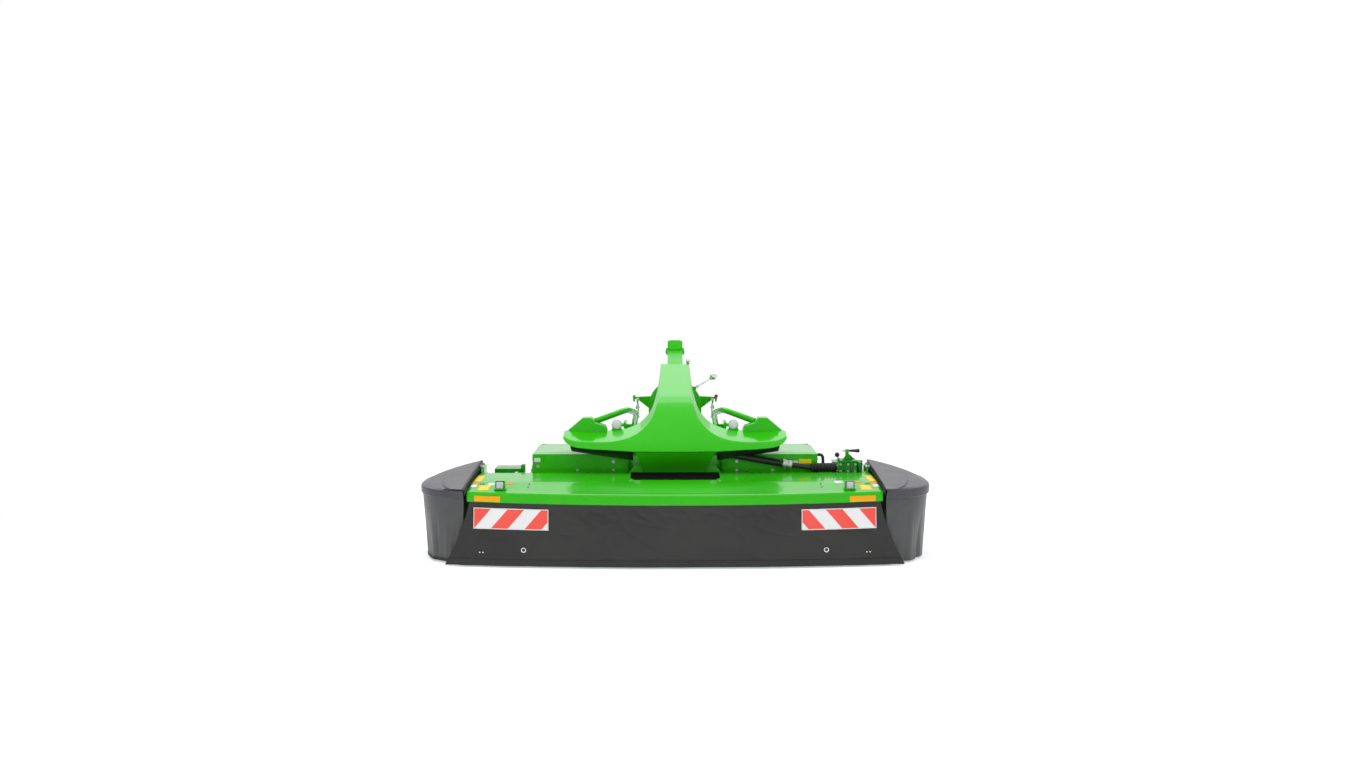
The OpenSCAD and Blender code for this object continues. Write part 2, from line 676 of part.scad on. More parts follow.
// Front curtain: hangs from the lip and widens downwards
curtain_top = lip_bottom + 30;
curtain_front = -1062;
curtain_seat = 0.8;
curtain_free = (curtain_top - lip_bottom) / (curtain_top - curtain_gap);
function curtain_x(u, v) = u * mix(hood_half - 18, curtain_wide, v);
function curtain_point(u, v, off) =
    let (held_y = lip_line(curtain_x(u, min(v, curtain_free))) + hood_t + curtain_seat,
        low_y = curtain_front + 24 * u * u,
        y = mix(held_y, low_y, max(0, v - curtain_free) / (1 - curtain_free)))
    [curtain_x(u, v), y + off, mix(curtain_top, curtain_gap, v)];

module front_curtain() {
    drops = concat([0], [for (i = [0:8]) mix(curtain_free, 1, i / 8)]);
    cols = 2 * hood_cols;
    color(black) grid_sheet(
        [for (v = drops) [for (j = [0:cols]) curtain_point(-1 + 2 * j / cols, v, 0)]],
        [for (v = drops) [for (j = [0:cols]) curtain_point(-1 + 2 * j / cols, v, curtain_t)]]);
}

module reflectors() {
    color(amber) for (s = [-1, 1]) {
        xs = [for (k = [0:4]) (s > 0 ? hood_half - 229 : 51 - hood_half) + k * 178 / 4];
        grid_sheet([for (z = [478, 438]) [for (x = xs) [x, lip_line(x) - 3.4, z]]],
            [for (z = [478, 438]) [for (x = xs) [x, lip_line(x) - 0.4, z]]]);
    }
}

board_edge = 53;
board_len_x = 493;
board_low = 258;
board_high = 384;
function board_point(x, z) =
    let (v = (curtain_top - z) / (curtain_top - curtain_gap)) curtain_point(x / curtain_x(1, v), v, 0);
module warning_boards() {
    color([0.9, 0.9, 0.9]) for (s = [-1, 1]) {
        x0 = s > 0 ? hood_half - board_edge - board_len_x : board_edge - hood_half;
        xs = [for (k = [0:8]) x0 + k * board_len_x / 8];
        zs = [for (k = [0:3]) mix(board_high, board_low, k / 3)];
        grid_sheet([for (z = zs) [for (x = xs) board_point(x, z) - [0, 4, 0]]],
            [for (z = zs) [for (x = xs) board_point(x, z) - [0, 1, 0]]]);
    }
}

// top of the hood at a point, on the straight stretches between its rows
function hood_top(x, y) =
    let (rows = [for (i = [3:-1:0]) let (p = hood_row(x, i, 0)) [p[1], p[2]]]) lookup(y, rows);

hood_lamp_x = hood_half - 219;
hood_lamp_y = -918;
module hood_lamps() {
    inner = hood_lamp_x - 44;
    function seat(y) = hood_top(inner, y) + fit;
    y0 = hood_lamp_y;
    color(green) for (s = [-1, 1]) translate([s * hood_lamp_x, 0, 0]) {
        along_x(-44, 44, [[y0 - 16, seat(y0 - 16)], [y0 + 46, seat(y0 + 46)], [y0 + 46, seat(y0 + 46) + 4],
            [y0 - 16, seat(y0 - 16) + 4]]);
        along_x(-30, 30, [[y0, seat(y0) + 3], [y0 + 34, seat(y0 + 34) + 3], [y0 + 26, seat(y0) + 40],
            [y0 + 12, seat(y0) + 52], [y0, seat(y0) + 50]]);
    }
}

// Side hoods: D-shaped in plan, a low scoop that rises to its rear inner corner
side_mid = (side_front + side_rear) / 2;
side_deep = (side_rear - side_front) / 2;
side_round = 2 / 2.4;
function side_plan(t) = [side_wide * pow(sin(t), side_round),
    side_mid - side_deep * sign(cos(t)) * pow(abs(cos(t)), side_round)];
function arch_z(y) = rim_top + (arch_top - rim_top) * pow(clamp01((y - side_front) / (side_rear - side_front)), 0.7);
side_cols = 14;
side_t0 = 9;
function side_angle(j) = mix(side_t0, 180 - side_t0, j / side_cols);
// rows from the inner edge out to the rim and down it
side_share = [0, 0.3, 0.6, 0.82, 0.95, 0.995, 1, 1];
function side_point(s, j, i, off) =
    let (p = side_plan(side_angle(j)),
        sh = side_share[i],
        rise = arch_z(p[1]) - rim_top,
        z = i <= 4 ? rim_top + rise * (1 - pow(sh, 2.4)) - (i == 4 ? 1 : 0)
            : [rim_top - 6, mix(rim_top, rim_bottom, 0.5), rim_bottom][i - 5],
        inset = i < 4 ? 0 : off,
        mid = [0, side_mid])
    [s * (side_in + p[0] * sh - (p[0] > 0 ? inset * p[0] / side_wide : 0)),
        p[1] - inset * (p[1] - side_mid) / side_deep * 0.9, z - (i < 5 ? off : (i == 5 ? off * 0.6 : 0))];

module side_hood(s) {
    rows = len(side_share);
    cols = s > 0 ? [for (j = [0:side_cols]) j] : [for (j = [side_cols:-1:0]) j];
    lug_y0 = side_hinge_front + 20;
    lug_y1 = side_hinge_back - 20;
    color(black) {
        grid_sheet([for (i = [0:rows - 1]) [for (j = cols) side_point(s, j, i, 0)]],
            [for (i = [0:rows - 1]) [for (j = cols) side_point(s, j, i, side_t)]]);
    }
    color(black) difference() {
        union() {
            pin_y(lug_y0, lug_y1, s * side_hinge_x, side_hinge_z, side_knuckle_r);
            block([s > 0 ? side_hinge_x : -side_in - 40, lug_y0, side_hinge_z - 8],
                [s > 0 ? side_in + 40 : -side_hinge_x, lug_y1, arch_z(lug_y0) - 3]);
        }
        pin_y(lug_y0 - 1, lug_y1 + 1, s * side_hinge_x, side_hinge_z, side_pin_r + fit);
    }
}

curtain_in = side_t + 0.3;
function side_curtain_point(s, j, v, off) =
    let (p = side_plan(side_angle(j)),
        narrow = mix(0, 88, v) + curtain_in + off,
        k = (side_wide - narrow) / side_wide)
    [s * (side_in + p[0] * k), side_mid + (p[1] - side_mid) * (side_deep - curtain_in - off) / side_deep,
        mix(rim_bottom + 24, curtain_gap, v)];
module side_curtain(s) {
    cols = s > 0 ? [for (j = [0:side_cols]) j] : [for (j = [side_cols:-1:0]) j];
    color(black) grid_sheet(
        [for (i = [0:3]) [for (j = cols) side_curtain_point(s, j, i / 3, 0)]],
        [for (i = [0:3]) [for (j = cols) side_curtain_point(s, j, i / 3, curtain_t)]]);
}

// Swath boards on upright hinges behind the conditioner
board_hinge_x = cond_half - 30;
board_hinge_y = side_back + 24;
board_len = 420;
board_turn = 12;
board_z0 = 172;
board_z1 = 372;
module swath_board(s) {
    color(green) translate([s * board_hinge_x, board_hinge_y, 0]) rotate([0, 0, s * board_turn]) difference() {
        union() {
            block([-2.5, 8, board_z0], [2.5, board_len, board_z1]);
            translate([0, 0, board_z0]) cylinder(h = board_z1 - board_z0, r = 12);
        }
        translate([0, 0, board_z0 - 1]) cylinder(h = board_z1 - board_z0 + 2, r = pin_r + fit);
    }
}

module swath_hinge_pins() {
    color(steel) for (s = [-1, 1]) union() {
        translate([s * board_hinge_x, board_hinge_y, board_z0 - 18]) cylinder(h = board_z1 - board_z0 + 36, r = pin_r);
        for (z = [board_z0 - 18, board_z1 + 2])
            block([s > 0 ? board_hinge_x - 10 : -cond_half + side_plate_t, side_back - 40, z],
                [s > 0 ? cond_half - side_plate_t : 10 - board_hinge_x, board_hinge_y + 10, z + 16]);
    }
}

// Parking stands in sockets beside the conditioner
leg_half = 24;
leg_travel = 200;
foot_half = 50;
foot_t = 10;
socket_low = leg_travel + foot_t + 15;
socket_top = 430;
socket_wall = 6;
module stand_sockets() {
    outer = leg_half + fit + socket_wall;
    color(green) for (s = [-1, 1]) difference() {
        union() {
            block([s * stand_x - outer, stand_y - outer, socket_low], [s * stand_x + outer, stand_y + outer, socket_top]);
            block([s > 0 ? cond_half : -stand_x, stand_y - 20, socket_low + 20],
                [s > 0 ? stand_x : -cond_half, stand_y + 20, socket_top - 30]);
        }
        block([s * stand_x - leg_half - fit, stand_y - leg_half - fit, socket_low - 10],
            [s * stand_x + leg_half + fit, stand_y + leg_half + fit, socket_top + 10]);
    }
}

module stand(s) {
    color(steel) union() {
        block([s * stand_x - leg_half, stand_y - leg_half, foot_t - 2],
            [s * stand_x + leg_half, stand_y + leg_half, socket_top + 30]);
        block([s * stand_x - foot_half, stand_y - foot_half, 0], [s * stand_x + foot_half, stand_y + foot_half, foot_t]);
    }
}

cutterbar();
skid_shoes();
rock_guards();
main_beam();
end_frame(-1);  // end_frame_left
end_frame(1);  // end_frame_right
conditioner_cover();
conditioner_sides();
rear_guard();
rotor_bearings();
headstock_cover();
headstock_keel();
wing_underpanels();
hitch_mast();
hitch_arch();
lower_hitch();
strut(-1);  // strut_left
strut(1);  // strut_right
wing_brackets();
wing_lamps();
centre_gearbox();
input_shaft();
cross_shaft();
shaft_bellows();
side_gearbox();
gear_lever();
baffle_crank();
baffle_bracket();
flap_hinge_pins();
side_hinge_pins();
swath_hinge_pins();
stand_sockets();
front_hood();
flap_knuckles();
front_curtain();
reflectors();
warning_boards();
hood_lamps();
side_hood(-1);  // side_hood_left
side_hood(1);  // side_hood_right
side_curtain(-1);  // side_curtain_left
side_curtain(1);  // side_curtain_right
for (i = [0:disc_count - 1])
    disc(i, i == 0 || i == disc_count - 1);
tine_rotor();
swath_board(-1);  // swath_board_left
swath_board(1);  // swath_board_right
stand(-1);  // stand_left
stand(1);  // stand_right
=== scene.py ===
import json
import math

import bmesh
import bpy
from mathutils import Matrix, Vector, noise


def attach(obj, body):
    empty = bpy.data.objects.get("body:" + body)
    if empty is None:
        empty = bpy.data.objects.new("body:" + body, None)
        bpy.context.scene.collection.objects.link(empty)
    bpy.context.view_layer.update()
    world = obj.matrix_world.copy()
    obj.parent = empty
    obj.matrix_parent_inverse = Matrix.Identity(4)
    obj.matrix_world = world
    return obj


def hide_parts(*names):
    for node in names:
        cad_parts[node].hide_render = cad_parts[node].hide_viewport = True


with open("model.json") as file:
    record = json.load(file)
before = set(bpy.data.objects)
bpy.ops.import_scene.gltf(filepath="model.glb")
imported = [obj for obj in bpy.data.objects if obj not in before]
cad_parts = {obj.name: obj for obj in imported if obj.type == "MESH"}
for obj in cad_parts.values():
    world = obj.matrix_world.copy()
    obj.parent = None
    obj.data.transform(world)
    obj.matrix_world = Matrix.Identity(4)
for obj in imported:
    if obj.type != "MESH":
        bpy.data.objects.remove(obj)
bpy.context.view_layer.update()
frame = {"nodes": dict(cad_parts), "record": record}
nodes = frame["nodes"]
print("frame loaded:", len(nodes), "nodes")

sides = ((-1, "Left"), (1, "Right"))   # sign of x and name, left and right as the photo shows them


# Shader nodes

def fillInputs(tree, node, inputs):
    # each input is a plain value or another node's output
    for socket, value in inputs.items():
        if isinstance(value, bpy.types.NodeSocket):
            tree.links.new(value, node.inputs[socket])
        else:
            node.inputs[socket].default_value = value


def addNode(tree, kind, inputs=None, **settings):
    node = tree.nodes.new("ShaderNode" + kind)
    for key, value in settings.items():
        setattr(node, key, value)
    fillInputs(tree, node, inputs or {})
    return node


def calculate(tree, operation, *values):
    return addNode(tree, "Math", dict(enumerate(values)), operation=operation).outputs[0]


def remap(tree, value, fromLow, fromHigh, toLow=0.0, toHigh=1.0, **settings):
    inputs = {"Value": value, "From Min": fromLow, "From Max": fromHigh, "To Min": toLow, "To Max": toHigh}
    return addNode(tree, "MapRange", inputs, **settings).outputs["Result"]


def mixColours(tree, factor, low, high):
    ends = {name: (*value, 1) if isinstance(value, tuple) else value for name, value in (("A", low), ("B", high))}
    return addNode(tree, "Mix", {**ends, "Factor": factor}, data_type="RGBA").outputs["Result"]


def objectCoordinates(tree, scale=(1, 1, 1)):
    place = addNode(tree, "TexCoord").outputs["Object"]
    return addNode(tree, "Mapping", {"Vector": place, "Scale": scale}).outputs["Vector"]


def noiseTexture(tree, vector, scale, detail=4.0, roughness=0.5):
    inputs = {"Vector": vector, "Scale": scale, "Detail": detail, "Roughness": roughness}
    return addNode(tree, "TexNoise", inputs).outputs["Fac"]


def waveTexture(tree, vector, scale, **settings):
    return addNode(tree, "TexWave", {"Vector": vector, "Scale": scale}, **settings).outputs["Fac"]


def bumpFrom(tree, height, strength, distance):
    return addNode(tree, "Bump", {"Height": height, "Strength": strength, "Distance": distance}).outputs["Normal"]


# Camera, floor and light

photo = {
    "width": 1365, "height": 768,      # pixels of the reference frame
    "focal": 1230,                     # in the same pixels
    "axisX": 675, "horizonY": 272,     # where the machine's middle plane and the horizon lie
    "eye": (0.0, -9.025, 1.946), "sensor": 36.0,
}


def makeCamera():
    camera = bpy.data.objects.new("camera", bpy.data.cameras.new("camera"))
    bpy.context.scene.collection.objects.link(camera)
    camera.data.sensor_width = photo["sensor"]
    camera.data.lens = camera.data.sensor_width * photo["focal"] / photo["width"]
    pitch = math.atan((photo["height"] / 2 - photo["horizonY"]) / photo["focal"])
    yaw = math.atan((photo["width"] / 2 - photo["axisX"]) / photo["focal"])
    camera.location = photo["eye"]
    camera.rotation_euler = (math.pi / 2 - pitch, 0.0, -yaw)
    bpy.context.scene.camera = camera


studio = {
    "floorHalf": 60.0, "floorColour": (0.90, 0.90, 0.90), "floorGlow": 0.42,
    "fadeStart": 2.6, "fadeEnd": 5.5,   # the floor turns to plain white between these radii
    "skyLow": 0.18, "skyHigh": 0.55,    # soft light near the horizon and overhead
    "skyColour": (0.90, 0.95, 1.0),
    "lamps": [                          # name, place, target, size, power, shown in reflections
        ("topLight", (0.0, -1.2, 5.2), (0, -0.1, 0.5), (7.0, 4.0), 225, False),
        ("keyLight", (-4.8, -5.4, 2.9), (0, -0.3, 0.5), (3.0, 2.6), 92, False),
        ("fillLight", (4.8, -5.6, 2.7), (0, -0.3, 0.5), (3.0, 2.6), 76, False),
        ("backLight", (0.0, 5.0, 5.2), (0, 0.2, 0.9), (9.0, 3.0), 132, True),
    ],
}


def makeFloor():
    mesh = bpy.data.meshes.new("floor")
    bm = bmesh.new()
    bmesh.ops.create_grid(bm, x_segments=1, y_segments=1, size=studio["floorHalf"])
    bm.to_mesh(mesh)
    bm.free()
    floor = bpy.data.objects.new("floor", mesh)
    bpy.context.scene.collection.objects.link(floor)
    material = bpy.data.materials.new("studioFloor")
    material.use_nodes = True
    tree = material.node_tree
    tree.nodes.clear()
    diffuse = addNode(tree, "BsdfDiffuse", {"Color": (*studio["floorColour"], 1)})
    glow = addNode(tree, "Emission", {"Strength": studio["floorGlow"]})
    near = addNode(tree, "AddShader", {0: diffuse.outputs[0], 1: glow.outputs[0]})
    far = addNode(tree, "Emission")
    place = addNode(tree, "TexCoord").outputs["Object"]
    radius = addNode(tree, "VectorMath", {0: place}, operation="LENGTH").outputs["Value"]
    fade = remap(tree, radius, studio["fadeStart"], studio["fadeEnd"], interpolation_type="SMOOTHSTEP")
    both = addNode(tree, "MixShader", {0: fade, 1: near.outputs[0], 2: far.outputs[0]})
    addNode(tree, "OutputMaterial", {"Surface": both.outputs[0]})
    mesh.materials.append(material)


def makeLamp(name, place, target, size, power, mirrored):
    data = bpy.data.lights.new(name, "AREA")
    data.shape = "RECTANGLE"
    data.size, data.size_y = size
    data.energy = power
    lamp = bpy.data.objects.new(name, data)
    bpy.context.scene.collection.objects.link(lamp)
    lamp.location = place
    lamp.rotation_euler = (Vector(target) - Vector(place)).to_track_quat("-Z", "Y").to_euler()
    lamp.visible_glossy = mirrored


def makeWorld():
    # plain white to the camera, in reflections and through glass, a soft sky for the light
    world = bpy.data.worlds.new("studio")
    world.use_nodes = True
    tree = world.node_tree
    seen = tree.nodes["Background"]
    fillInputs(tree, seen, {"Color": (1, 1, 1, 1)})
    place = addNode(tree, "TexCoord").outputs["Generated"]
    height = addNode(tree, "SeparateXYZ", {0: place}).outputs["Z"]
    strength = remap(tree, height, 0.0, 1.0, studio["skyLow"], studio["skyHigh"])
    lit = addNode(tree, "Background", {"Color": (*studio["skyColour"], 1), "Strength": strength})
    path = addNode(tree, "LightPath").outputs
    mirrored = calculate(tree, "MAXIMUM", path["Is Glossy Ray"], path["Is Transmission Ray"])
    shown = calculate(tree, "MAXIMUM", path["Is Camera Ray"], mirrored)
    mix = addNode(tree, "MixShader", {0: shown, 1: lit.outputs[0], 2: seen.outputs[0]})
    fillInputs(tree, tree.nodes["World Output"], {"Surface": mix.outputs[0]})
    bpy.context.scene.world = world


def makeStudio():
    makeFloor()
    makeWorld()
    for lamp in studio["lamps"]:
        makeLamp(*lamp)
    bpy.context.scene.view_settings.view_transform = "Standard"


# Materials

def newMaterial(name):
    material = bpy.data.materials.new(name)
    material.use_nodes = True
    return material, material.node_tree, objectCoordinates(material.node_tree)


def dressMaterial(material, inputs):
    tree = material.node_tree
    fillInputs(tree, tree.nodes["Principled BSDF"], inputs)
    return material


def makePaint(name, colour, deep, roughness=0.22, coat=0.5, gloss=0.12):
    # two slightly different shades in large clouds, orange peel and a thin layer of dust
    material, tree, vector = newMaterial(name)
    mottle = noiseTexture(tree, vector, 2.3, 3.0)
    peel = noiseTexture(tree, vector, 420.0, 2.0)
    dust = noiseTexture(tree, vector, 2.6, 3.0)
    return dressMaterial(material, {
        "Base Color": mixColours(tree, remap(tree, mottle, 0.3, 0.7), deep, colour),
        "Normal": bumpFrom(tree, peel, 0.012, 0.0003),
        "Roughness": remap(tree, dust, 0.35, 0.75, roughness, roughness + 0.06),
        "Specular IOR Level": gloss, "Coat Weight": coat, "Coat Roughness": 0.05, "Coat IOR": 1.3,
    })


def makeMoulded(name, colour, light, roughness=0.42, grain=900.0, gloss=0.4):
    # moulded plastic or rubber with a fine grain
    material, tree, vector = newMaterial(name)
    cloud = noiseTexture(tree, vector, 6.0, 5.0)
    fine = noiseTexture(tree, vector, grain, 2.0)
    return dressMaterial(material, {
        "Base Color": mixColours(tree, remap(tree, cloud, 0.35, 0.65), colour, light),
        "Normal": bumpFrom(tree, fine, 0.25, 0.0006),
        "Roughness": remap(tree, cloud, 0.3, 0.7, roughness - 0.06, roughness + 0.08),
        "Specular IOR Level": gloss,
    })


weave = {"scale": 260.0, "slub": 40.0, "slubShare": 3.0, "bump": 0.16, "depth": 0.0005}


def makeCurtainFabric(name, dark, light, rubbed, gloss):
    # coated tarpaulin: a fine square weave under the coating, with faint rub marks
    material, tree, vector = newMaterial(name)
    cloud = noiseTexture(tree, vector, 3.2, 5.0, 0.55)
    base = mixColours(tree, remap(tree, cloud, 0.35, 0.65), dark, light)
    rub = noiseTexture(tree, objectCoordinates(tree, (9.0, 9.0, 60.0)), 1.0, 6.0, 0.7)
    across = waveTexture(tree, vector, weave["scale"])
    up = waveTexture(tree, vector, weave["scale"], bands_direction="Z")
    slub = calculate(tree, "MULTIPLY", noiseTexture(tree, vector, weave["slub"]), weave["slubShare"])
    fine = calculate(tree, "ADD", calculate(tree, "ADD", across, up), slub)
    return dressMaterial(material, {
        "Base Color": mixColours(tree, remap(tree, rub, 0.62, 0.80), base, rubbed),
        "Normal": bumpFrom(tree, fine, weave["bump"], weave["depth"]),
        "Roughness": remap(tree, cloud, 0.3, 0.7, 0.36, 0.50),
        "Sheen Weight": 0.04, "Specular IOR Level": gloss,
    })


def makeSteel(name, colour, roughness=0.3):
    # bare or plated metal with stains and fine scratches
    material, tree, vector = newMaterial(name)
    stain = noiseTexture(tree, vector, 35.0, 6.0, 0.6)
    scratch = noiseTexture(tree, objectCoordinates(tree, (30, 600, 600)), 1.0, 2.0)
    return dressMaterial(material, {
        "Base Color": mixColours(tree, remap(tree, stain, 0.3, 0.7), tuple(c * 0.7 for c in colour), colour),
        "Roughness": remap(tree, stain, 0.3, 0.7, roughness, roughness + 0.18),
        "Normal": bumpFrom(tree, scratch, 0.12, 0.0004), "Metallic": 1.0,
    })


boardStripes = {
    "period": 0.1125, "lean": 0.873, "phase": -0.0925, "cells": 260.0,
    "red": ((0.72, 0.030, 0.014), (0.88, 0.100, 0.075)), "white": ((0.66, 0.66, 0.66), (0.80, 0.80, 0.80)),
}


def makeStripes():
    # red and white bands that lean outwards on both boards, on reflecting sheet with a fine cell pattern
    s = boardStripes
    material, tree, vector = newMaterial("boardStripes")
    axes = addNode(tree, "SeparateXYZ", {0: addNode(tree, "TexCoord").outputs["Object"]}).outputs
    across = calculate(tree, "ABSOLUTE", axes["X"])
    slant = calculate(tree, "ADD", across, calculate(tree, "MULTIPLY", axes["Z"], s["lean"]))
    turns = calculate(tree, "MULTIPLY", calculate(tree, "ADD", slant, s["phase"]), 0.5 / s["period"])
    red = calculate(tree, "GREATER_THAN", calculate(tree, "FRACT", turns), 0.5)
    cloud = noiseTexture(tree, vector, 5.0, 3.0)
    shades = [mixColours(tree, cloud, *s[colour]) for colour in ("white", "red")]
    cells = addNode(tree, "TexVoronoi", {"Vector": vector, "Scale": s["cells"]}).outputs["Distance"]
    return dressMaterial(material, {
        "Base Color": mixColours(tree, red, *shades),
        "Normal": bumpFrom(tree, cells, 0.15, 0.0004), "Roughness": 0.32, "Coat Weight": 0.3,
    })


def makeLens(name, colour):
    # ribbed plastic of a lamp or reflector
    material, tree, vector = newMaterial(name)
    tint = noiseTexture(tree, vector, 30.0, 3.0)
    return dressMaterial(material, {
        "Base Color": mixColours(tree, tint, tuple(c * 0.8 for c in colour), colour),
        "Normal": bumpFrom(tree, waveTexture(tree, vector, 420.0), 0.35, 0.001),
        "Roughness": 0.16, "Specular IOR Level": 0.15, "Coat Weight": 0.4, "Coat IOR": 1.3,
    })


def grey(value):
    return (value, value, value)


materials = {
    "green": makePaint("greenPaint", (0.030, 0.435, 0.004), (0.025, 0.405, 0.003)),
    "darkGreen": makePaint("darkGreenPaint", (0.010, 0.250, 0.008), (0.007, 0.200, 0.007), 0.28),
    "moulded": makeMoulded("mouldedPlastic", (0.046, 0.044, 0.050), (0.060, 0.058, 0.065), 0.36),
    "black": makeMoulded("blackPlastic", (0.012, 0.012, 0.013), (0.022, 0.022, 0.023), 0.38),
    "rubber": makeMoulded("blackRubber", grey(0.012), grey(0.020), 0.55, 500.0),
    "curtain": makeCurtainFabric("curtainFabric", (0.019, 0.0187, 0.0180), (0.027, 0.0265, 0.0252),
                                 (0.042, 0.041, 0.040), 0.30),
    # the same tarpaulin as the front curtain in lighter colours: painted light on the side curtains
    "sideCurtain": makeCurtainFabric("litSideCurtainFabric", (0.034, 0.034, 0.035), (0.055, 0.055, 0.056),
                                     (0.085, 0.085, 0.086), 0.60),
    "steel": makeSteel("zincSteel", (0.60, 0.60, 0.58)),
    "chrome": makeSteel("chromedSteel", (0.82, 0.82, 0.80), 0.16),
    "worn": makeSteel("wornSteel", (0.34, 0.32, 0.29), 0.42),
    "amber": makeLens("amberLens", (0.92, 0.42, 0.002)),
    "clear": makeLens("clearLens", (0.60, 0.62, 0.62)),
    # near-black sheet on the hood under the keel: painted shadow
    "mat": makeMoulded("paintedShadowBlack", grey(0.0020), grey(0.0035), 0.85, 500.0, 0.05),
    "red": makePaint("redPlastic", (0.55, 0.012, 0.008), (0.45, 0.010, 0.008), 0.25),
    "yellow": makePaint("yellowSticker", (0.80, 0.62, 0.015), (0.74, 0.56, 0.012), 0.35, 0.2),
    "orange": makePaint("orangeSticker", (0.78, 0.24, 0.010), (0.72, 0.21, 0.010), 0.35, 0.2),
    "white": makePaint("whiteSticker", (0.72, 0.72, 0.70), (0.66, 0.66, 0.64), 0.35, 0.2),
    "stripes": makeStripes(),
}
print("materials made")

slotMaterials = {
    "green_paint": "green", "dark_green_paint": "darkGreen", "green_plastic": "green",
    "worn_steel": "worn", "bright_steel": "steel", "black_plastic": "black", "grey_plastic": "moulded",
    "black_rubber": "rubber", "curtain_fabric": "curtain", "amber_plastic": "amber", "board_white": "white",
}


# Mesh helpers

def addModifier(piece, kind, **settings):
    modifier = piece.modifiers.new(kind.lower(), kind)
    for key, value in settings.items():
        setattr(modifier, key, value)


def crispEdges(piece, width, segments=2, angle=32):
    limit = math.radians(angle)
    addModifier(piece, "BEVEL", width=width, segments=segments, limit_method="ANGLE", angle_limit=limit)
    addModifier(piece, "EDGE_SPLIT", split_angle=limit)


def dressNodes():
    for row in frame["record"]["subparts"]:
        piece = nodes[row["node"]]
        piece.data.materials.clear()
        piece.data.materials.append(materials[slotMaterials[row["material_slot"]]])
        piece.data.polygons.foreach_set("use_smooth", [True] * len(piece.data.polygons))
        addModifier(piece, "WELD", merge_threshold=0.00002)
        crispEdges(piece, 0.0016)


def finishMesh(name, bm, material, body, sheet=None, edges=None, smooth=True):
    # sheet is a surface's thickness and the side that it grows to, edges are the values for crispEdges
    bmesh.ops.recalc_face_normals(bm, faces=bm.faces)
    mesh = bpy.data.meshes.new(name)
    for face in bm.faces:
        face.smooth = smooth
    bm.to_mesh(mesh)
    bm.free()
    piece = bpy.data.objects.new(name, mesh)
    bpy.context.scene.collection.objects.link(piece)
    for one in material if isinstance(material, list) else [material]:
        mesh.materials.append(materials[one])
    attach(piece, body)
    if sheet:
        addModifier(piece, "SOLIDIFY", thickness=sheet[0], offset=sheet[1])
    if edges:
        crispEdges(piece, *edges)
    return piece


def gridSurface(columns, rows, place):
    bm = bmesh.new()
    bmesh.ops.create_grid(bm, x_segments=columns, y_segments=rows, size=0.5)
    for vert in bm.verts:
        vert.co = place(vert.co.x + 0.5, vert.co.y + 0.5)
    return bm


def smoothStep(low, high, value):
    t = min(1.0, max(0.0, (value - low) / (high - low)))
    return t * t * (3 - 2 * t)


def blendValue(a, b, t):
    return a + (b - a) * t


def facing(place, direction, turn=0.0):
    # matrix that carries +Z to the direction and the origin to the place
    aim = Vector(direction).to_track_quat("Z", "Y").to_matrix().to_4x4()
    return Matrix.Translation(place) @ aim @ Matrix.Rotation(turn, 4, "Z")


def addPart(bm, part, matrix=None):
    # moves a small bmesh into place and joins it to the larger one
    if matrix is not None:
        bmesh.ops.transform(part, matrix=matrix, verts=part.verts)
    bmesh.ops.recalc_face_normals(part, faces=part.faces)
    mesh = bpy.data.meshes.new("part")
    part.to_mesh(mesh)
    part.free()
    bm.from_mesh(mesh)
    bpy.data.meshes.remove(mesh)


def turned(bm, outline, place, direction, count=24, closed=False):
    # outline is a list of (radius, height) along the direction, from foot to tip, or a closed ring's section
    part = bmesh.new()
    profile = list(outline) + [outline[0]] if closed else [(0, outline[0][1])] + list(outline) + [(0, outline[-1][1])]
    line = [part.verts.new((radius, 0, height)) for radius, height in profile]
    edges = [part.edges.new(pair) for pair in zip(line, line[1:])]
    bmesh.ops.spin(part, geom=line + edges, cent=(0, 0, 0), axis=(0, 0, 1), angle=2 * math.pi, steps=count,
                   use_merge=True)
    bmesh.ops.remove_doubles(part, verts=part.verts, dist=1e-6)
    addPart(bm, part, facing(place, direction))


def rod(bm, start, end, radius, count=20):
    start, end = Vector(start), Vector(end)
    turned(bm, [(radius, 0), (radius, (end - start).length)], start, end - start, count)


def prism(bm, outline, axis, low, high):
    # outline holds points in the plane across the axis, in the order of the two other axes
    index = "XYZ".index(axis)
    part = bmesh.new()
    corners = []
    for point in outline:
        spot = list(point)
        spot.insert(index, low)
        corners.append(part.verts.new(spot))
    grown = bmesh.ops.extrude_face_region(part, geom=[part.faces.new(corners)])
    shift = Vector((0, 0, 0))
    shift[index] = high - low
    bmesh.ops.translate(part, vec=shift, verts=[item for item in grown["geom"] if isinstance(item, bmesh.types.BMVert)])
    addPart(bm, part)


def roundedBlock(bm, low, high, radius=0.0):
    part = bmesh.new()
    low, high = Vector(low), Vector(high)
    spot = Matrix.Translation((low + high) / 2) @ Matrix.Diagonal((*(high - low), 1))
    bmesh.ops.create_cube(part, size=1.0, matrix=spot)
    if radius:
        bmesh.ops.bevel(part, geom=part.edges[:], offset=radius, segments=3, affect="EDGES", profile=0.5, material=-1)
    addPart(bm, part)


def loftLoops(bm, loops):
    # closed loops with the same number of points, one after the other, with both ends filled
    part = bmesh.new()
    count = len(loops[0])
    bmesh.ops.create_grid(part, x_segments=len(loops) - 1, y_segments=count, size=0.5)
    for vert in part.verts:
        i = round((vert.co.x + 0.5) * (len(loops) - 1))
        j = round((vert.co.y + 0.5) * count) % count
        vert.co = loops[i][j]
    bmesh.ops.remove_doubles(part, verts=part.verts, dist=1e-6)
    bmesh.ops.holes_fill(part, edges=[edge for edge in part.edges if len(edge.link_faces) == 1], sides=0)
    addPart(bm, part)


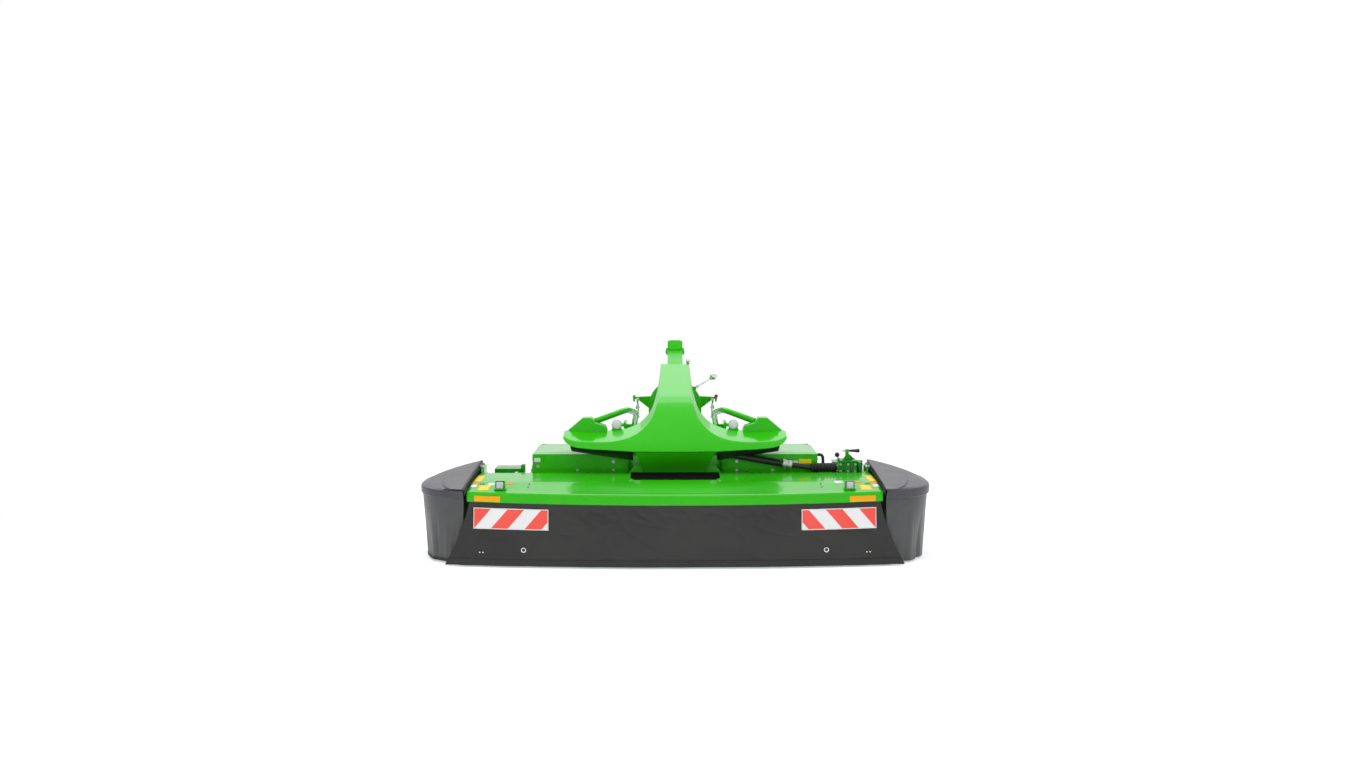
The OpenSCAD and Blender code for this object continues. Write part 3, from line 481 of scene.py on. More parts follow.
def addPipe(bm, points, radius):
    # round bar or hose along a smooth line
    data = bpy.data.curves.new("pipe", "CURVE")
    data.dimensions = "3D"
    data.bevel_depth = radius
    data.bevel_resolution = 4
    data.use_fill_caps = True
    line = smoothCurve(points, 6)
    spline = data.splines.new("POLY")
    spline.points.add(len(line) - 1)
    for spot, place in zip(spline.points, line):
        spot.co = (*place, 1)
    holder = bpy.data.objects.new("pipe", data)
    mesh = bpy.data.meshes.new_from_object(holder)
    bm.from_mesh(mesh)
    bpy.data.meshes.remove(mesh)
    bpy.data.objects.remove(holder)
    bpy.data.curves.remove(data)


# outlines of the washer, the hexagon head and the bolt's end, as shares of the head's width, and their sides
boltShape = (
    ([(1.05, 0), (1.05, 0.12), (0.98, 0.17)], 20),
    ([(0.57, 0.16), (0.57, 0.62), (0.50, 0.70)], 6),
    ([(0.30, 0.69), (0.30, 0.80), (0.22, 0.88)], 12),
)


def addBolt(bm, place, direction, size):
    for outline, count in boltShape:
        turned(bm, [(size * radius, size * height) for radius, height in outline], place, direction, count)


def ball(bm, place, radius, around=32, along=20):
    spot = Matrix.Translation(place)
    bmesh.ops.create_uvsphere(bm, u_segments=around, v_segments=along, radius=radius, matrix=spot)


def build(parts):
    # one mesh of several forms, each given as its function and the values for it
    bm = bmesh.new()
    for make, *values in parts:
        make(bm, *values)
    return bm


def makeBolts(name, spots, body, size):
    bm = bmesh.new()
    for place, direction in spots:
        addBolt(bm, Vector(place), direction, size)
    finishMesh(name, bm, "steel", body, edges=(size * 0.04, 1), smooth=False)


# Front hood and its curtain

hood = {
    "half": 1.385, "hingeY": -0.352, "hingeZ": 0.512,
    "lipY": -1.095, "lipSweep": 0.150, "lipTop": 0.484, "lipBottom": 0.426, "sheet": 0.004,
    "hingeGap": 0.014, "lipRound": 0.026, "lipDrop": 0.006, "roundTall": 0.016, "rise": 0.012, "sag": 0.011,
    "bendFrom": 0.50, "bendTo": 1.05,
    "topShare": 0.80, "roundShare": 0.90,   # shares of the rows where the top and the rounded lip end
}


def lipLine(x):
    return hood["lipY"] + hood["lipSweep"] * (x / hood["half"]) ** 2


def hoodTop(x, y):
    # height of the hood's skin, flat at the hinge and falling to the rounded lip
    h = hood
    back = h["hingeY"] - h["hingeGap"]
    t = (back - y) / (back - lipLine(x) - h["lipRound"])
    fall = h["hingeZ"] + 0.001 - h["lipTop"] - 0.010
    bend = smoothStep(h["bendFrom"], h["bendTo"], t) / smoothStep(h["bendFrom"], h["bendTo"], 1.0)
    return h["hingeZ"] + h["rise"] - h["sag"] * max(0.0, t) ** 1.5 - fall * bend


def makeHood():
    h = hood
    back, r, top, turn = h["hingeY"] - h["hingeGap"], h["lipRound"], h["topShare"], h["roundShare"]

    def place(u, v):
        x = (2 * u - 1) * h["half"]
        front = lipLine(x)
        share = 1 - v
        if share < top:
            y = blendValue(back, front + r, share / top)
            z = hoodTop(x, y)
        elif share < turn:
            angle = (share - top) / (turn - top) * math.pi / 2
            y = front + r - r * math.sin(angle)
            z = h["lipTop"] - h["lipDrop"] + h["roundTall"] * math.cos(angle)
        else:
            y = front
            z = blendValue(h["lipTop"] - h["lipDrop"], h["lipBottom"], (share - turn) / (1 - turn))
        return Vector((x, y, z))

    bm = gridSurface(120, 80, place)
    piece = finishMesh("frontHood", bm, "green", "flap", sheet=(h["sheet"], -1))
    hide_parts("front_hood")


hoodBolts = {"x": 0.988, "y": (-0.845, -0.776), "size": 0.010}


def makeHoodBolts():
    b = hoodBolts
    spots = [((side * b["x"], y, hoodTop(b["x"], y)), (0, 0, 1)) for side in (-1, 1) for y in b["y"]]
    makeBolts("hoodBolts", spots, "flap", b["size"])


# sizes of the near-black sheet under the keel, a painted shadow
hoodShadeSheet = {"half": 0.312, "rear": -0.370, "front": -0.650, "taper": 0.10, "lift": 0.0022, "thick": 0.0025}


def makeHoodShadeSheet():
    # near-black sheet on the middle of the hood, below the headstock's keel: a painted shadow of the keel
    m = hoodShadeSheet

    def place(u, v):
        y = blendValue(m["rear"], m["front"], v)
        x = (2 * u - 1) * m["half"] * (1 - m["taper"] * smoothStep(0.6, 1.0, v) ** 2)
        return Vector((x, y, hoodTop(x, y) + m["lift"]))

    sheet = (m["thick"], 0)
    finishMesh("hoodShadeSheet", gridSurface(60, 24, place), "mat", "flap", sheet, (0.0008, 2))


frontCurtain = {
    "top": 0.456, "bottom": 0.012, "wide": 1.528, "front": -1.088, "backOff": 0.092, "spread": 1.5, "seat": 0.0048,
    # the last value is the height of the dark strip at the curtain's foot, a hem and painted shade
    "thick": 0.003, "columns": 320, "rows": 48, "waves": 0.007, "dents": 0.010, "creases": 0.006, "hemAndShade": 0.045,
}
eyelets = {"x": 1.0, "z": 0.118, "radius": 0.0185, "hole": 0.010, "dent": 0.05}
studs = {"x": 1.283, "z": 0.098, "apart": 0.011, "radius": 0.0055, "dent": 0.04}
# slack fold above the studs: its middle, the direction along it, half its width and where it fades out
slackFold = {"x": 1.30, "z": 0.20, "along": (0.62, 0.78), "wide": 0.030, "fade": (0.14, 0.02), "depth": 0.5}


def curtainDents(x, z):
    # dimples round the eyelets and studs, and slack folds that run from the studs up to the boards' corners
    f, depth = slackFold, 0.0
    for side in (-1, 1):
        for spot in (eyelets, studs):
            away = math.hypot(x - side * spot["x"], (z - spot["z"]) * 0.8)
            depth += 0.8 * math.exp(-(away / spot["dent"]) ** 2)
        right, up = abs(x) - f["x"], z - f["z"]
        along = right * f["along"][0] + up * f["along"][1]
        off = right * f["along"][1] + up * f["along"][0]
        depth += f["depth"] * math.exp(-(off / f["wide"]) ** 2) * smoothStep(*f["fade"], abs(along))
    return depth


def curtainSpan(v):
    # half the curtain's width at a share of its drop
    c = frontCurtain
    return blendValue(hood["half"] - 0.018, c["wide"], max(0.0, v) ** c["spread"])


def curtainFlat(x, z):
    # y of the curtain without its waves, which the stiff boards span
    c = frontCurtain
    v = (c["top"] - z) / (c["top"] - c["bottom"])
    free = (c["top"] - hood["lipBottom"]) / (c["top"] - c["bottom"])
    u = x / curtainSpan(v)
    heldY = lipLine(u * curtainSpan(min(v, free))) + c["seat"]
    return blendValue(heldY, c["front"] + c["backOff"] * u * u, max(0.0, v - free) / (1 - free))


def frontCurtainPoint(u, z):
    c = frontCurtain
    v = (c["top"] - z) / (c["top"] - c["bottom"])
    free = (c["top"] - hood["lipBottom"]) / (c["top"] - c["bottom"])
    x = u * curtainSpan(v)
    y = curtainFlat(x, z)
    slack = smoothStep(free, 0.45, v)
    slow = noise.noise(Vector((x * 2.1, z * 1.3, 3.1)))
    long = noise.noise(Vector((x * 5.5, z * 2.6, 8.4)))
    diagonal = noise.noise(Vector((x * 3.0 + z * 7.0, z * 2.0 - x * 2.0, 1.7)))
    y += slack * (c["waves"] * slow + 0.4 * c["waves"] * long)
    y += slack * c["dents"] * (0.30 * max(0.0, 1.0 - abs(diagonal) * 7.0) + curtainDents(x, z))
    crease = noise.noise(Vector((x * 8.0 + z * 9.0, z * 6.0 - x * 3.0, 6.2)))
    y += c["creases"] * smoothStep(free, 0.16, v) * smoothStep(0.42, 0.22, v) * max(0.0, 1.0 - abs(crease) * 4.5)
    return Vector((x, y, z))


def makeFrontCurtain():
    c = frontCurtain

    def place(u, v):
        return frontCurtainPoint(2 * u - 1, blendValue(c["bottom"], c["top"], v))

    bm = gridSurface(c["columns"], c["rows"], place)
    piece = finishMesh("frontCurtain", bm, "curtain", "flap", sheet=(c["thick"], -1))
    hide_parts("front_curtain")
    return piece


def makeCurtainHemAndShade():
    # darker rubber hem along the front curtain's foot, partly a real hem and partly painted shade where the curtain
    # meets the floor
    c = frontCurtain

    def place(u, v):
        z = blendValue(c["bottom"] + 0.001, c["bottom"] + c["hemAndShade"], v)
        point = frontCurtainPoint(2 * u - 1, z)
        return point - Vector((0, 0.0012 + 0.0010 * math.sin(v * math.pi), 0))

    bm = gridSurface(c["columns"], 6, place)
    return finishMesh("frontCurtainHemAndShade", bm, "rubber", "flap", sheet=(0.002, 0))


def curtainFace(x, z):
    # point of the curtain's outer side at a place across the front, found by its height and width
    c = frontCurtain
    return frontCurtainPoint(x / curtainSpan((c["top"] - z) / (c["top"] - c["bottom"])), z)


def fastenerSpots(lift):
    # the eyelets' and studs' places on the curtain, a little in front of it or sunk into it
    off = Vector((0, lift, 0))
    for side in (-1, 1):
        yield eyelets, curtainFace(side * eyelets["x"], eyelets["z"]) - off
        for shift in (-studs["apart"], studs["apart"]):
            yield studs, curtainFace(side * studs["x"] + shift, studs["z"]) - off


def makeCurtainFittings():
    front = (0, -1, 0)
    r, hole, q = eyelets["radius"], eyelets["hole"], studs["radius"]
    crown = [(blendValue(hole, r, share), 0.0055) for share in (0.3, 0.7)]
    bm = bmesh.new()
    for kind, place in fastenerSpots(0.001):
        if kind is eyelets:
            turned(bm, [(hole, 0.0), (hole, 0.003), *crown, (r, 0.002), (r, 0.0)], place, front, 40, closed=True)
        else:
            turned(bm, [(q, 0), (q, 0.001), (q * 0.8, 0.003), (q * 0.3, 0.0038)], place, front, 20)
    piece = finishMesh("curtainFittings", bm, "chrome", "flap")
    addModifier(piece, "EDGE_SPLIT", split_angle=math.radians(40))
    # dark discs under them: the eyelets' holes and the soft shade round both
    bm = bmesh.new()
    for kind, place in fastenerSpots(0.0016):
        if kind is eyelets:
            turned(bm, [(hole, -0.001), (hole * 0.98, 0.0006)], place, front, 32)
            # dark ring round each eyelet: painted shade
            turned(bm, [(r * 1.30, -0.0012), (r * 1.26, 0.0)], place, front, 40)
    for kind, place in fastenerSpots(0.0006):
        if kind is studs:
            # dark disc under each stud: painted shade
            turned(bm, [(q * 2.0, -0.001), (q * 1.9, 0.0)], place, front, 28)
    return [piece, finishMesh("eyeletHolesAndShade", bm, "rubber", "flap")]


boards = {
    "edge": 0.053, "wide": 0.493, "low": 0.258, "high": 0.384, "thick": 0.002, "off": 0.0052,
    "border": 0.006, "backThick": 0.0014, "backOff": 0.0036,
}


def makeBoards():
    b = boards
    outer, made = hood["half"] - b["edge"], []
    for side, label in sides:
        def panel(grow, off):
            def place(u, v):
                x = side * blendValue(outer - b["wide"] - grow, outer + grow, u)
                z = blendValue(b["low"] - grow, b["high"] + grow, v)
                return Vector((x, curtainFlat(x, z) - off, z))

            return gridSurface(30, 8, place)

        bm, sheet = panel(0.0, b["off"]), (b["thick"], 0)
        piece = finishMesh("board" + label, bm, "stripes", "flap", sheet, (0.0004, 1))
        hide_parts("warning_boards")
        bm, sheet = panel(b["border"], b["backOff"]), (b["backThick"], 0)
        made += [piece, finishMesh("boardBack" + label, bm, "white", "flap", sheet)]
    return made


reflector = {"x": (1.156, 1.334), "z": (0.430, 0.469), "off": 0.0018, "thick": 0.0028}


def makeReflectors():
    r = reflector
    for side, label in sides:
        def place(u, v):
            x = side * blendValue(*r["x"], u)
            return Vector((x, lipLine(x) - r["off"], blendValue(*r["z"], v)))

        bm, sheet = gridSurface(24, 4, place), (r["thick"], 0)
        lens = finishMesh("reflector" + label, bm, "amber", "flap", sheet, (0.0008, 2))
        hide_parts("reflectors")


patches = {
    "lift": 0.0006, "thick": 0.0004,
    "hood": [   # side, or 0 for both, colour, x from and to, y from and to
        (0, "yellow", 1.326, 1.379, -0.700, -0.470), (0, "white", 1.338, 1.379, -0.830, -0.772),
        (0, "orange", 1.338, 1.379, -0.768, -0.716), (0, "yellow", 1.243, 1.328, -0.915, -0.790),
        (-1, "white", 1.222, 1.272, -0.800, -0.735), (1, "white", 1.086, 1.148, -0.760, -0.680),
        (-1, "orange", 1.098, 1.150, -0.784, -0.735), (1, "orange", 1.223, 1.266, -0.737, -0.690),
        (0, "black", 1.291, 1.326, -0.776, -0.748),
    ],
    "cover": [(0.889, 0.979, 0.575, 0.607), (0.782, 0.885, 0.578, 0.595), (-1.012, -0.967, 0.588, 0.616)],
    "coverY": (-0.2764, -0.2748), "yellowFrom": 0.887,
}


def makeStickers():
    # blank coloured patches in the places of the stickers
    p = patches
    for number, (only, colour, x0, x1, y0, y1) in enumerate(p["hood"]):
        for side, label in sides:
            if only not in (0, side):
                continue

            def place(u, v):
                x, y = side * blendValue(x0, x1, u), blendValue(y0, y1, v)
                return Vector((x, y, hoodTop(x, y) + p["lift"]))

            name = "patch%s%d" % (label, number)
            finishMesh(name, gridSurface(4, 6, place), colour, "flap", (p["thick"], 0))
    bm = bmesh.new()
    back, front = p["coverY"]
    for x0, x1, z0, z1 in p["cover"]:
        roundedBlock(bm, (x0, back, z0), (x1, front, z1))
    for face in bm.faces:
        face.material_index = 0 if face.calc_center_median().x > p["yellowFrom"] else 1
    finishMesh("coverPatches", bm, ["yellow", "white"], "chassis", edges=(0.0003, 1), smooth=False)


hoodLamp = {"x": 1.166, "y": -0.905, "half": 0.040, "deep": 0.026, "tall": 0.062, "glass": 0.0235, "lift": 0.034,
            "rim": 0.004, "slim": 0.82}


def makeHoodLamps():
    p = hoodLamp
    half, deep, g = p["half"], p["deep"], p["glass"]
    for side, label in sides:
        x, y = side * p["x"], p["y"]
        foot = hoodTop(x, y) + 0.0004
        front, middle, slim = y - deep, foot + p["lift"], half * p["slim"]
        bm = bmesh.new()
        roundedBlock(bm, (x - half, front, foot), (x + half, y + deep, foot + 0.010), 0.003)
        roundedBlock(bm, (x - slim, front + 0.004, foot + 0.004), (x + slim, y + deep - 0.004, foot + p["tall"]), 0.010)
        piece = finishMesh("hoodLamp" + label, bm, "green", "flap", edges=(0.0008, 2))
        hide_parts("hood_lamps")
        bm = bmesh.new()
        rim = g + p["rim"]
        roundedBlock(bm, (x - rim, front + 0.001, middle - g), (x + rim, front + 0.010, middle + g + 0.005), 0.004)
        finishMesh("hoodLampRim" + label, bm, "black", "flap", edges=(0.0006, 2))
        bm = bmesh.new()
        roundedBlock(bm, (x - g, front - 0.003, middle - g), (x + g, front + 0.004, middle + g), 0.0055)
        finishMesh("hoodLampLens" + label, bm, "clear", "flap")


# Side hoods and their curtains

sideHood = {
    "inner": 1.402, "wide": 0.348, "front": -0.960, "rear": -0.135,
    "rimBottom": 0.452, "rimTop": 0.503, "archTop": 0.578, "wall": 0.007,
    "round": 2 / 2.4, "startAngle": 0.5, "edgeRadius": 0.013,
    "recessDepth": 0.007, "recessNear": 0.56, "recessFar": 0.80, "recessEdge": 0.02,
    "rimRound": 0.006, "crownPower": 2.4,
    "crownTo": 0.70, "edgeTo": 0.80, "wallTo": 0.94,   # shares of the rows where crown, edge and wall end
}


sideKnuckle = {"x": 1.394, "z": 0.561, "front": -0.280, "back": -0.180, "radius": 0.009, "reach": 1.442}


def sidePlan(angle):
    s = sideHood
    middle, deep = (s["front"] + s["rear"]) / 2, (s["rear"] - s["front"]) / 2
    sine, cosine = math.sin(angle), math.cos(angle)
    return (s["wide"] * max(0.0, sine) ** s["round"],
            middle - deep * math.copysign(abs(cosine) ** s["round"], cosine))


def sideArch(y):
    s = sideHood
    t = min(1.0, max(0.0, (y - s["front"]) / (s["rear"] - s["front"])))
    return s["rimTop"] + (s["archTop"] - s["rimTop"]) * t ** 0.7


def sideSkin(side, u, v):
    # u runs along the rim from front to rear, v from the inner edge over the crown, round the rim and down
    s = sideHood
    angle = math.radians(blendValue(s["startAngle"], 180 - s["startAngle"], u))
    reach, y = sidePlan(angle)
    r, low = s["edgeRadius"], s["rimRound"]
    crownTo, edgeTo, wallTo = s["crownTo"], s["edgeTo"], s["wallTo"]
    outward = Vector((reach, y - (s["front"] + s["rear"]) / 2, 0)).normalized()
    point = Vector((reach, y, 0))
    if v < crownTo:
        share = v / crownTo
        rise = sideArch(y) - s["rimTop"]
        near, far, soft = s["recessNear"], s["recessFar"], s["recessEdge"]
        band = smoothStep(near - soft, near + soft, share) * smoothStep(far + soft, far - soft, share)
        ends = smoothStep(0.08, 0.20, u) * smoothStep(0.62, 0.44, u)
        point = Vector((reach * share, y, 0)) - outward * r * smoothStep(0.75, 1.0, share)
        point.z = s["rimTop"] + rise * (1 - share ** s["crownPower"]) - s["recessDepth"] * band * ends
    elif v < edgeTo:
        turn = (v - crownTo) / (edgeTo - crownTo) * math.pi / 2
        point -= outward * r * (1 - math.sin(turn))
        point.z = s["rimTop"] - r * (1 - math.cos(turn))
    elif v < wallTo:
        point.z = blendValue(s["rimTop"] - r, s["rimBottom"] + low, (v - edgeTo) / (wallTo - edgeTo))
    else:
        turn = (v - wallTo) / (1 - wallTo) * math.pi / 2
        point -= outward * low * (1 - math.cos(turn))
        point.z = s["rimBottom"] + low - low * math.sin(turn)
    return Vector((side * (s["inner"] + point.x), point.y, point.z))


def makeSideHood(side, label):
    bm = gridSurface(120, 90, lambda u, v: sideSkin(side, u, v))
    body, sheet = "hood_" + label.lower(), (sideHood["wall"], -1)
    piece = finishMesh("sideHood" + label, bm, "moulded", body, sheet, (0.0020, 3, 50))
    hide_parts("side_hood_" + label.lower())
    k = sideKnuckle
    bm = bmesh.new()
    rod(bm, (side * k["x"], k["front"], k["z"]), (side * k["x"], k["back"], k["z"]), k["radius"], 24)
    roundedBlock(bm, (min(side * k["x"], side * k["reach"]), k["front"], k["z"] - 0.008),
                 (max(side * k["x"], side * k["reach"]), k["back"], k["z"] + 0.001), 0.002)
    finishMesh("sideKnuckle" + label, bm, "moulded", body, edges=(0.001, 2))

    def seal(u, v):
        y = blendValue(sideHood["front"] + 0.006, sideHood["rear"] - 0.006, u)
        top = sideArch(y) + 0.0016
        if v < 0.5:
            return Vector((side * (sideHood["inner"] + 0.013 * (1 - 2 * v)), y, top))
        return Vector((side * (sideHood["inner"] - 0.001), y, top - 0.040 * (2 * v - 1)))

    bm = gridSurface(60, 10, seal)
    finishMesh("sideHoodSeal" + label, bm, "rubber", body, sheet=(0.002, 0))


sideCurtain = {
    "top": 0.476, "bottom": 0.012, "narrow": 0.030, "inset": 0.0075, "thick": 0.003,
    "folds": 9, "foldDepth": 0.013, "frontTuck": 0.018, "flat": (1.18, 0.464),
}


def sideCurtainPoint(side, u, z):
    s, c = sideHood, sideCurtain
    v = (c["top"] - z) / (c["top"] - c["bottom"])
    angle = math.radians(blendValue(s["startAngle"], 180 - s["startAngle"], u))
    reach, y = sidePlan(angle)
    middle, deep = (s["front"] + s["rear"]) / 2, (s["rear"] - s["front"]) / 2
    narrow = c["narrow"] * v + c["inset"]
    slack = smoothStep(0.15, 0.9, v)
    fold = noise.noise(Vector((u * c["folds"], z * 1.2, 5.0 + side)))
    fold += 0.5 * noise.noise(Vector((u * 3 * c["folds"], z * 2.5, 9.0)))
    ridge = 1.0 - min(1.0, abs(noise.noise(Vector((u * 14.0 + z * 1.6, z * 0.9, 2.4 + side)))) * 3.2)
    inwards = c["foldDepth"] * slack * (fold + 0.35 + 0.5 * ridge)
    scale = (s["wide"] - narrow - inwards) / s["wide"]
    tuck = c["frontTuck"] if y < middle else 0.0
    depth = (deep - c["inset"] - tuck - inwards) / deep
    return Vector((side * (s["inner"] + reach * scale), middle + (y - middle) * depth, z))


def makeSideCurtain(side, label):
    c = sideCurtain
    bm = gridSurface(220, 40, lambda u, v: sideCurtainPoint(side, u, blendValue(c["bottom"], c["top"], v)))
    body, sheet = "hood_" + label.lower(), (c["thick"], -1)
    # the side curtains get the lighter fabric with painted light
    piece = finishMesh("sideCurtain" + label, bm, "sideCurtain", body, sheet)
    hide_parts("side_curtain_" + label.lower())

    # darker rubber hem along the side curtain's foot, partly a real hem and partly painted shade where the curtain
    # meets the floor
    def place(u, v):
        point = sideCurtainPoint(side, u, blendValue(c["bottom"] + 0.001, c["bottom"] + 0.022, v))
        middle = Vector((side * sideHood["inner"], (sideHood["front"] + sideHood["rear"]) / 2, point.z))
        return point + (point - middle).normalized() * 0.0016

    bm = gridSurface(220, 6, place)
    hemAndShade = finishMesh("sideCurtainHemAndShade" + label, bm, "rubber", body, (0.002, 0))


# Headstock: front face, a rounded edge along the outline, flanks, back and underside

headstock = {
    "neckEnd": 0.648, "neckTop": 1.224, "tilt": math.radians(15), "round": 0.009,
    "face": [(-452, 686), (-436, 715), (-405, 758), (-363, 801), (-305, 852), (-233, 905), (-120, 975), (10, 1030)],
    "under": [(648, 1040), (330, 960), (60, 880), (-90, 800), (-140, 686)],
    "tip": [(793, 776), (790, 783), (782, 782), (765, 771)],
    "crease": [(722, 757), (626, 749), (486, 748), (362, 765), (270, 802), (208, 852), (166, 903), (137, 975),
               (124, 1030), (115, 1120), (107, 1224)],
    "edge": [(0, 686), (300, 688), (440, 696), (580, 703), (690, 713), (740, 726), (770, 746), (786, 764), (793, 776)],
    "planEnd": [(793, -470), (793, -250), (781, -214), (755, -201)],
    "plan": [(400, -200), (335, -194), (275, -178), (228, -148), (190, -95), (163, -20), (144, 90), (130, 230),
             (119, 420), (112, 653)],
    "seat": [(793, 808), (560, 808), (480, 815), (330, 1304)],
    "columns": 150, "faceSteps": 14, "edgeSteps": 6, "flankSteps": 5, "underSteps": 5,
    "foldX": (0.186, 0.42), "foldZ": (0.875, 0.99), "foldPower": 1.2,   # where the face turns from wing to keel
    "knee": -0.140, "weld": 0.00005,
}


def smoothCurve(points, steps):
    # curve through the points, with a number of steps between two of them
    result = []
    for i in range(len(points) - 1):
        a, b, c, d = (Vector(points[min(max(k, 0), len(points) - 1)]) for k in (i - 1, i, i + 1, i + 2))
        for k in range(steps):
            t = k / steps
            square, cube = 2 * a - 5 * b + 4 * c - d, 3 * b - a - 3 * c + d
            result.append(0.5 * (2 * b + (c - a) * t + square * t * t + cube * t ** 3))
    return result + [Vector(points[-1])]


def lookUp(table, value):
    # table is a list of (place, value) with rising places
    if value <= table[0][0]:
        return table[0][1]
    for (x0, y0), (x1, y1) in zip(table, table[1:]):
        if value <= x1:
            return y0 + (y1 - y0) * (value - x0) / max(1e-9, x1 - x0)
    return table[-1][1]


def metres(points):
    return [Vector((p[0] / 1000, p[1] / 1000)) for p in points]


def alongLine(points, count):
    # the same line as a number of points at even distances
    reach = [0.0]
    for a, b in zip(points, points[1:]):
        reach.append(reach[-1] + (b - a).length)
    spots = []
    for k in range(count):
        want = reach[-1] * k / (count - 1)
        i = max(j for j in range(len(reach) - 1) if reach[j] <= want + 1e-12)
        spots.append(points[i].lerp(points[i + 1], min(1.0, (want - reach[i]) / max(1e-9, reach[i + 1] - reach[i]))))
    return spots


def makeHeadstock():
    h = headstock
    face = metres(smoothCurve(h["face"], 8)) + [Vector((h["neckEnd"], h["neckTop"]))]
    faceTable = [(p.y, p.x) for p in face]
    underTable = sorted((p.x, p.y) for p in metres(smoothCurve(h["under"], 8)))
    edgeTable = [(p.x, p.y) for p in metres(h["edge"])]
    planPoints = metres(h["planEnd"]) + metres(smoothCurve(h["plan"], 6))
    planTable = sorted(((p.x, p.y) for p in planPoints), key=lambda p: (p[0], -p[1]))
    tipX, middleY = 0.7929, -0.3
    planTable = [p for p in planTable if p[0] < tipX or p[1] > middleY]   # at the tip only the rear end counts
    seatTable = sorted((p.x, p.y) for p in metres(h["seat"]))
    lean = Vector((0, math.cos(h["tilt"]), math.sin(h["tilt"])))
    outline = alongLine(metres(h["tip"]) + metres(smoothCurve(h["crease"], 8)), h["columns"])
    (foldIn, foldOut), (foldLow, foldHigh) = h["foldX"], h["foldZ"]

    def faceY(z):
        return lookUp(faceTable, z)

    def bottomZ(x, y):
        return max(lookUp(edgeTable, x), lookUp(underTable, y))

    def spine(x, z):
        # where the column that ends at this place of the outline starts
        if z < foldLow and x > foldIn:
            startX = x if x > foldOut else foldOut * smoothStep(foldIn, foldOut, x) ** h["foldPower"]
            return Vector((startX, lookUp(edgeTable, startX)))
        rise = smoothStep(foldLow, foldHigh, z)
        return Vector((0, blendValue(lookUp(edgeTable, 0), z, rise)))

    sections = []
    for k, spot in enumerate(outline):
        ahead, behind = outline[min(k + 1, len(outline) - 1)], outline[max(k - 1, 0)]
        along = (ahead - behind).normalized()
        inward = Vector((-along.y, along.x))
        start = spine(spot.x, spot.y)
        if inward.dot(start - spot) < 0:
            inward = -inward
        room = min(h["round"], 0.45 * (start - spot).length + 1e-5)
        corner = Vector((spot.x, faceY(spot.y), spot.y))
        onFace = spot + inward * room
        below = Vector((onFace.x, faceY(onFace.y), onFace.y))
        backY = lookUp(planTable, spot.x)
        seat = lookUp(seatTable, spot.x)
        behindCorner = corner + lean * min(h["round"], 0.3 * (backY - corner.y))
        section = []
        for step in range(h["faceSteps"] + 1):
            p = start.lerp(onFace, step / h["faceSteps"])
            section.append(Vector((p.x, faceY(p.y), p.y)))
        for step in range(1, h["edgeSteps"]):
            t = step / h["edgeSteps"]
            section.append(below * (1 - t) ** 2 + corner * 2 * t * (1 - t) + behindCorner * t * t)
        slope = math.tan(h["tilt"])
        stop = min(backY, corner.y + (seat - corner.z) / slope)
        for step in range(h["flankSteps"] + 1):
            y = blendValue(behindCorner.y, stop, step / h["flankSteps"])
            section.append(Vector((corner.x, y, corner.z + (y - corner.y) * slope)))
        section.append(Vector((corner.x, backY, min(seat, section[-1].z + (backY - stop) * slope))))
        low = bottomZ(corner.x, backY)
        high = section[-1].z
        for step in (0.33, 0.66, 1.0):
            section.append(Vector((corner.x, backY, blendValue(high, low, step))))
        if start.x > 0:
            end = Vector((start.x, faceY(start.y), start.y))
        else:
            startZ = smoothStep(foldLow - 0.03, 0.97, spot.y)
            end = Vector((0, blendValue(faceY(lookUp(edgeTable, 0)), backY, startZ), 0))
            end.z = bottomZ(0, end.y)
        knee = min(max(h["knee"], min(end.y, backY)), max(end.y, backY))
        reach = end.y - backY
        for goal in (knee, end.y):
            fromY = section[-1].y
            share0 = 0 if abs(reach) < 1e-6 else (fromY - backY) / reach
            share1 = 1 if goal == end.y else (0 if abs(reach) < 1e-6 else (goal - backY) / reach)
            for step in range(1, h["underSteps"] + 1):
                t = step / h["underSteps"]
                x, y = blendValue(corner.x, end.x, blendValue(share0, share1, t)), blendValue(fromY, goal, t)
                section.append(Vector((x, y, bottomZ(x, y))))
        section[-1] = end
        sections.append(section)

    bm = bmesh.new()
    bmesh.ops.create_grid(bm, x_segments=len(sections) - 1, y_segments=len(sections[0]) - 1, size=0.5)
    for vert in bm.verts:
        i = round((vert.co.x + 0.5) * (len(sections) - 1))
        j = round((vert.co.y + 0.5) * (len(sections[0]) - 1))
        vert.co = sections[i][j]
    bmesh.ops.mirror(bm, geom=bm.verts[:] + bm.edges[:] + bm.faces[:], axis="X", merge_dist=h["weld"])
    bmesh.ops.remove_doubles(bm, verts=bm.verts, dist=h["weld"])
    bmesh.ops.dissolve_degenerate(bm, edges=bm.edges, dist=h["weld"])
    openEdges = [edge for edge in bm.edges if len(edge.link_faces) == 1]
    bmesh.ops.holes_fill(bm, edges=openEdges, sides=0)
    piece = finishMesh("headstockCover", bm, "green", "chassis", edges=(0.0025, 3, 34))
    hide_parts("headstock_cover")


# Structure round the headstock

def mirrored(outline, side):
    return [(side * x, z) for x, z in outline]


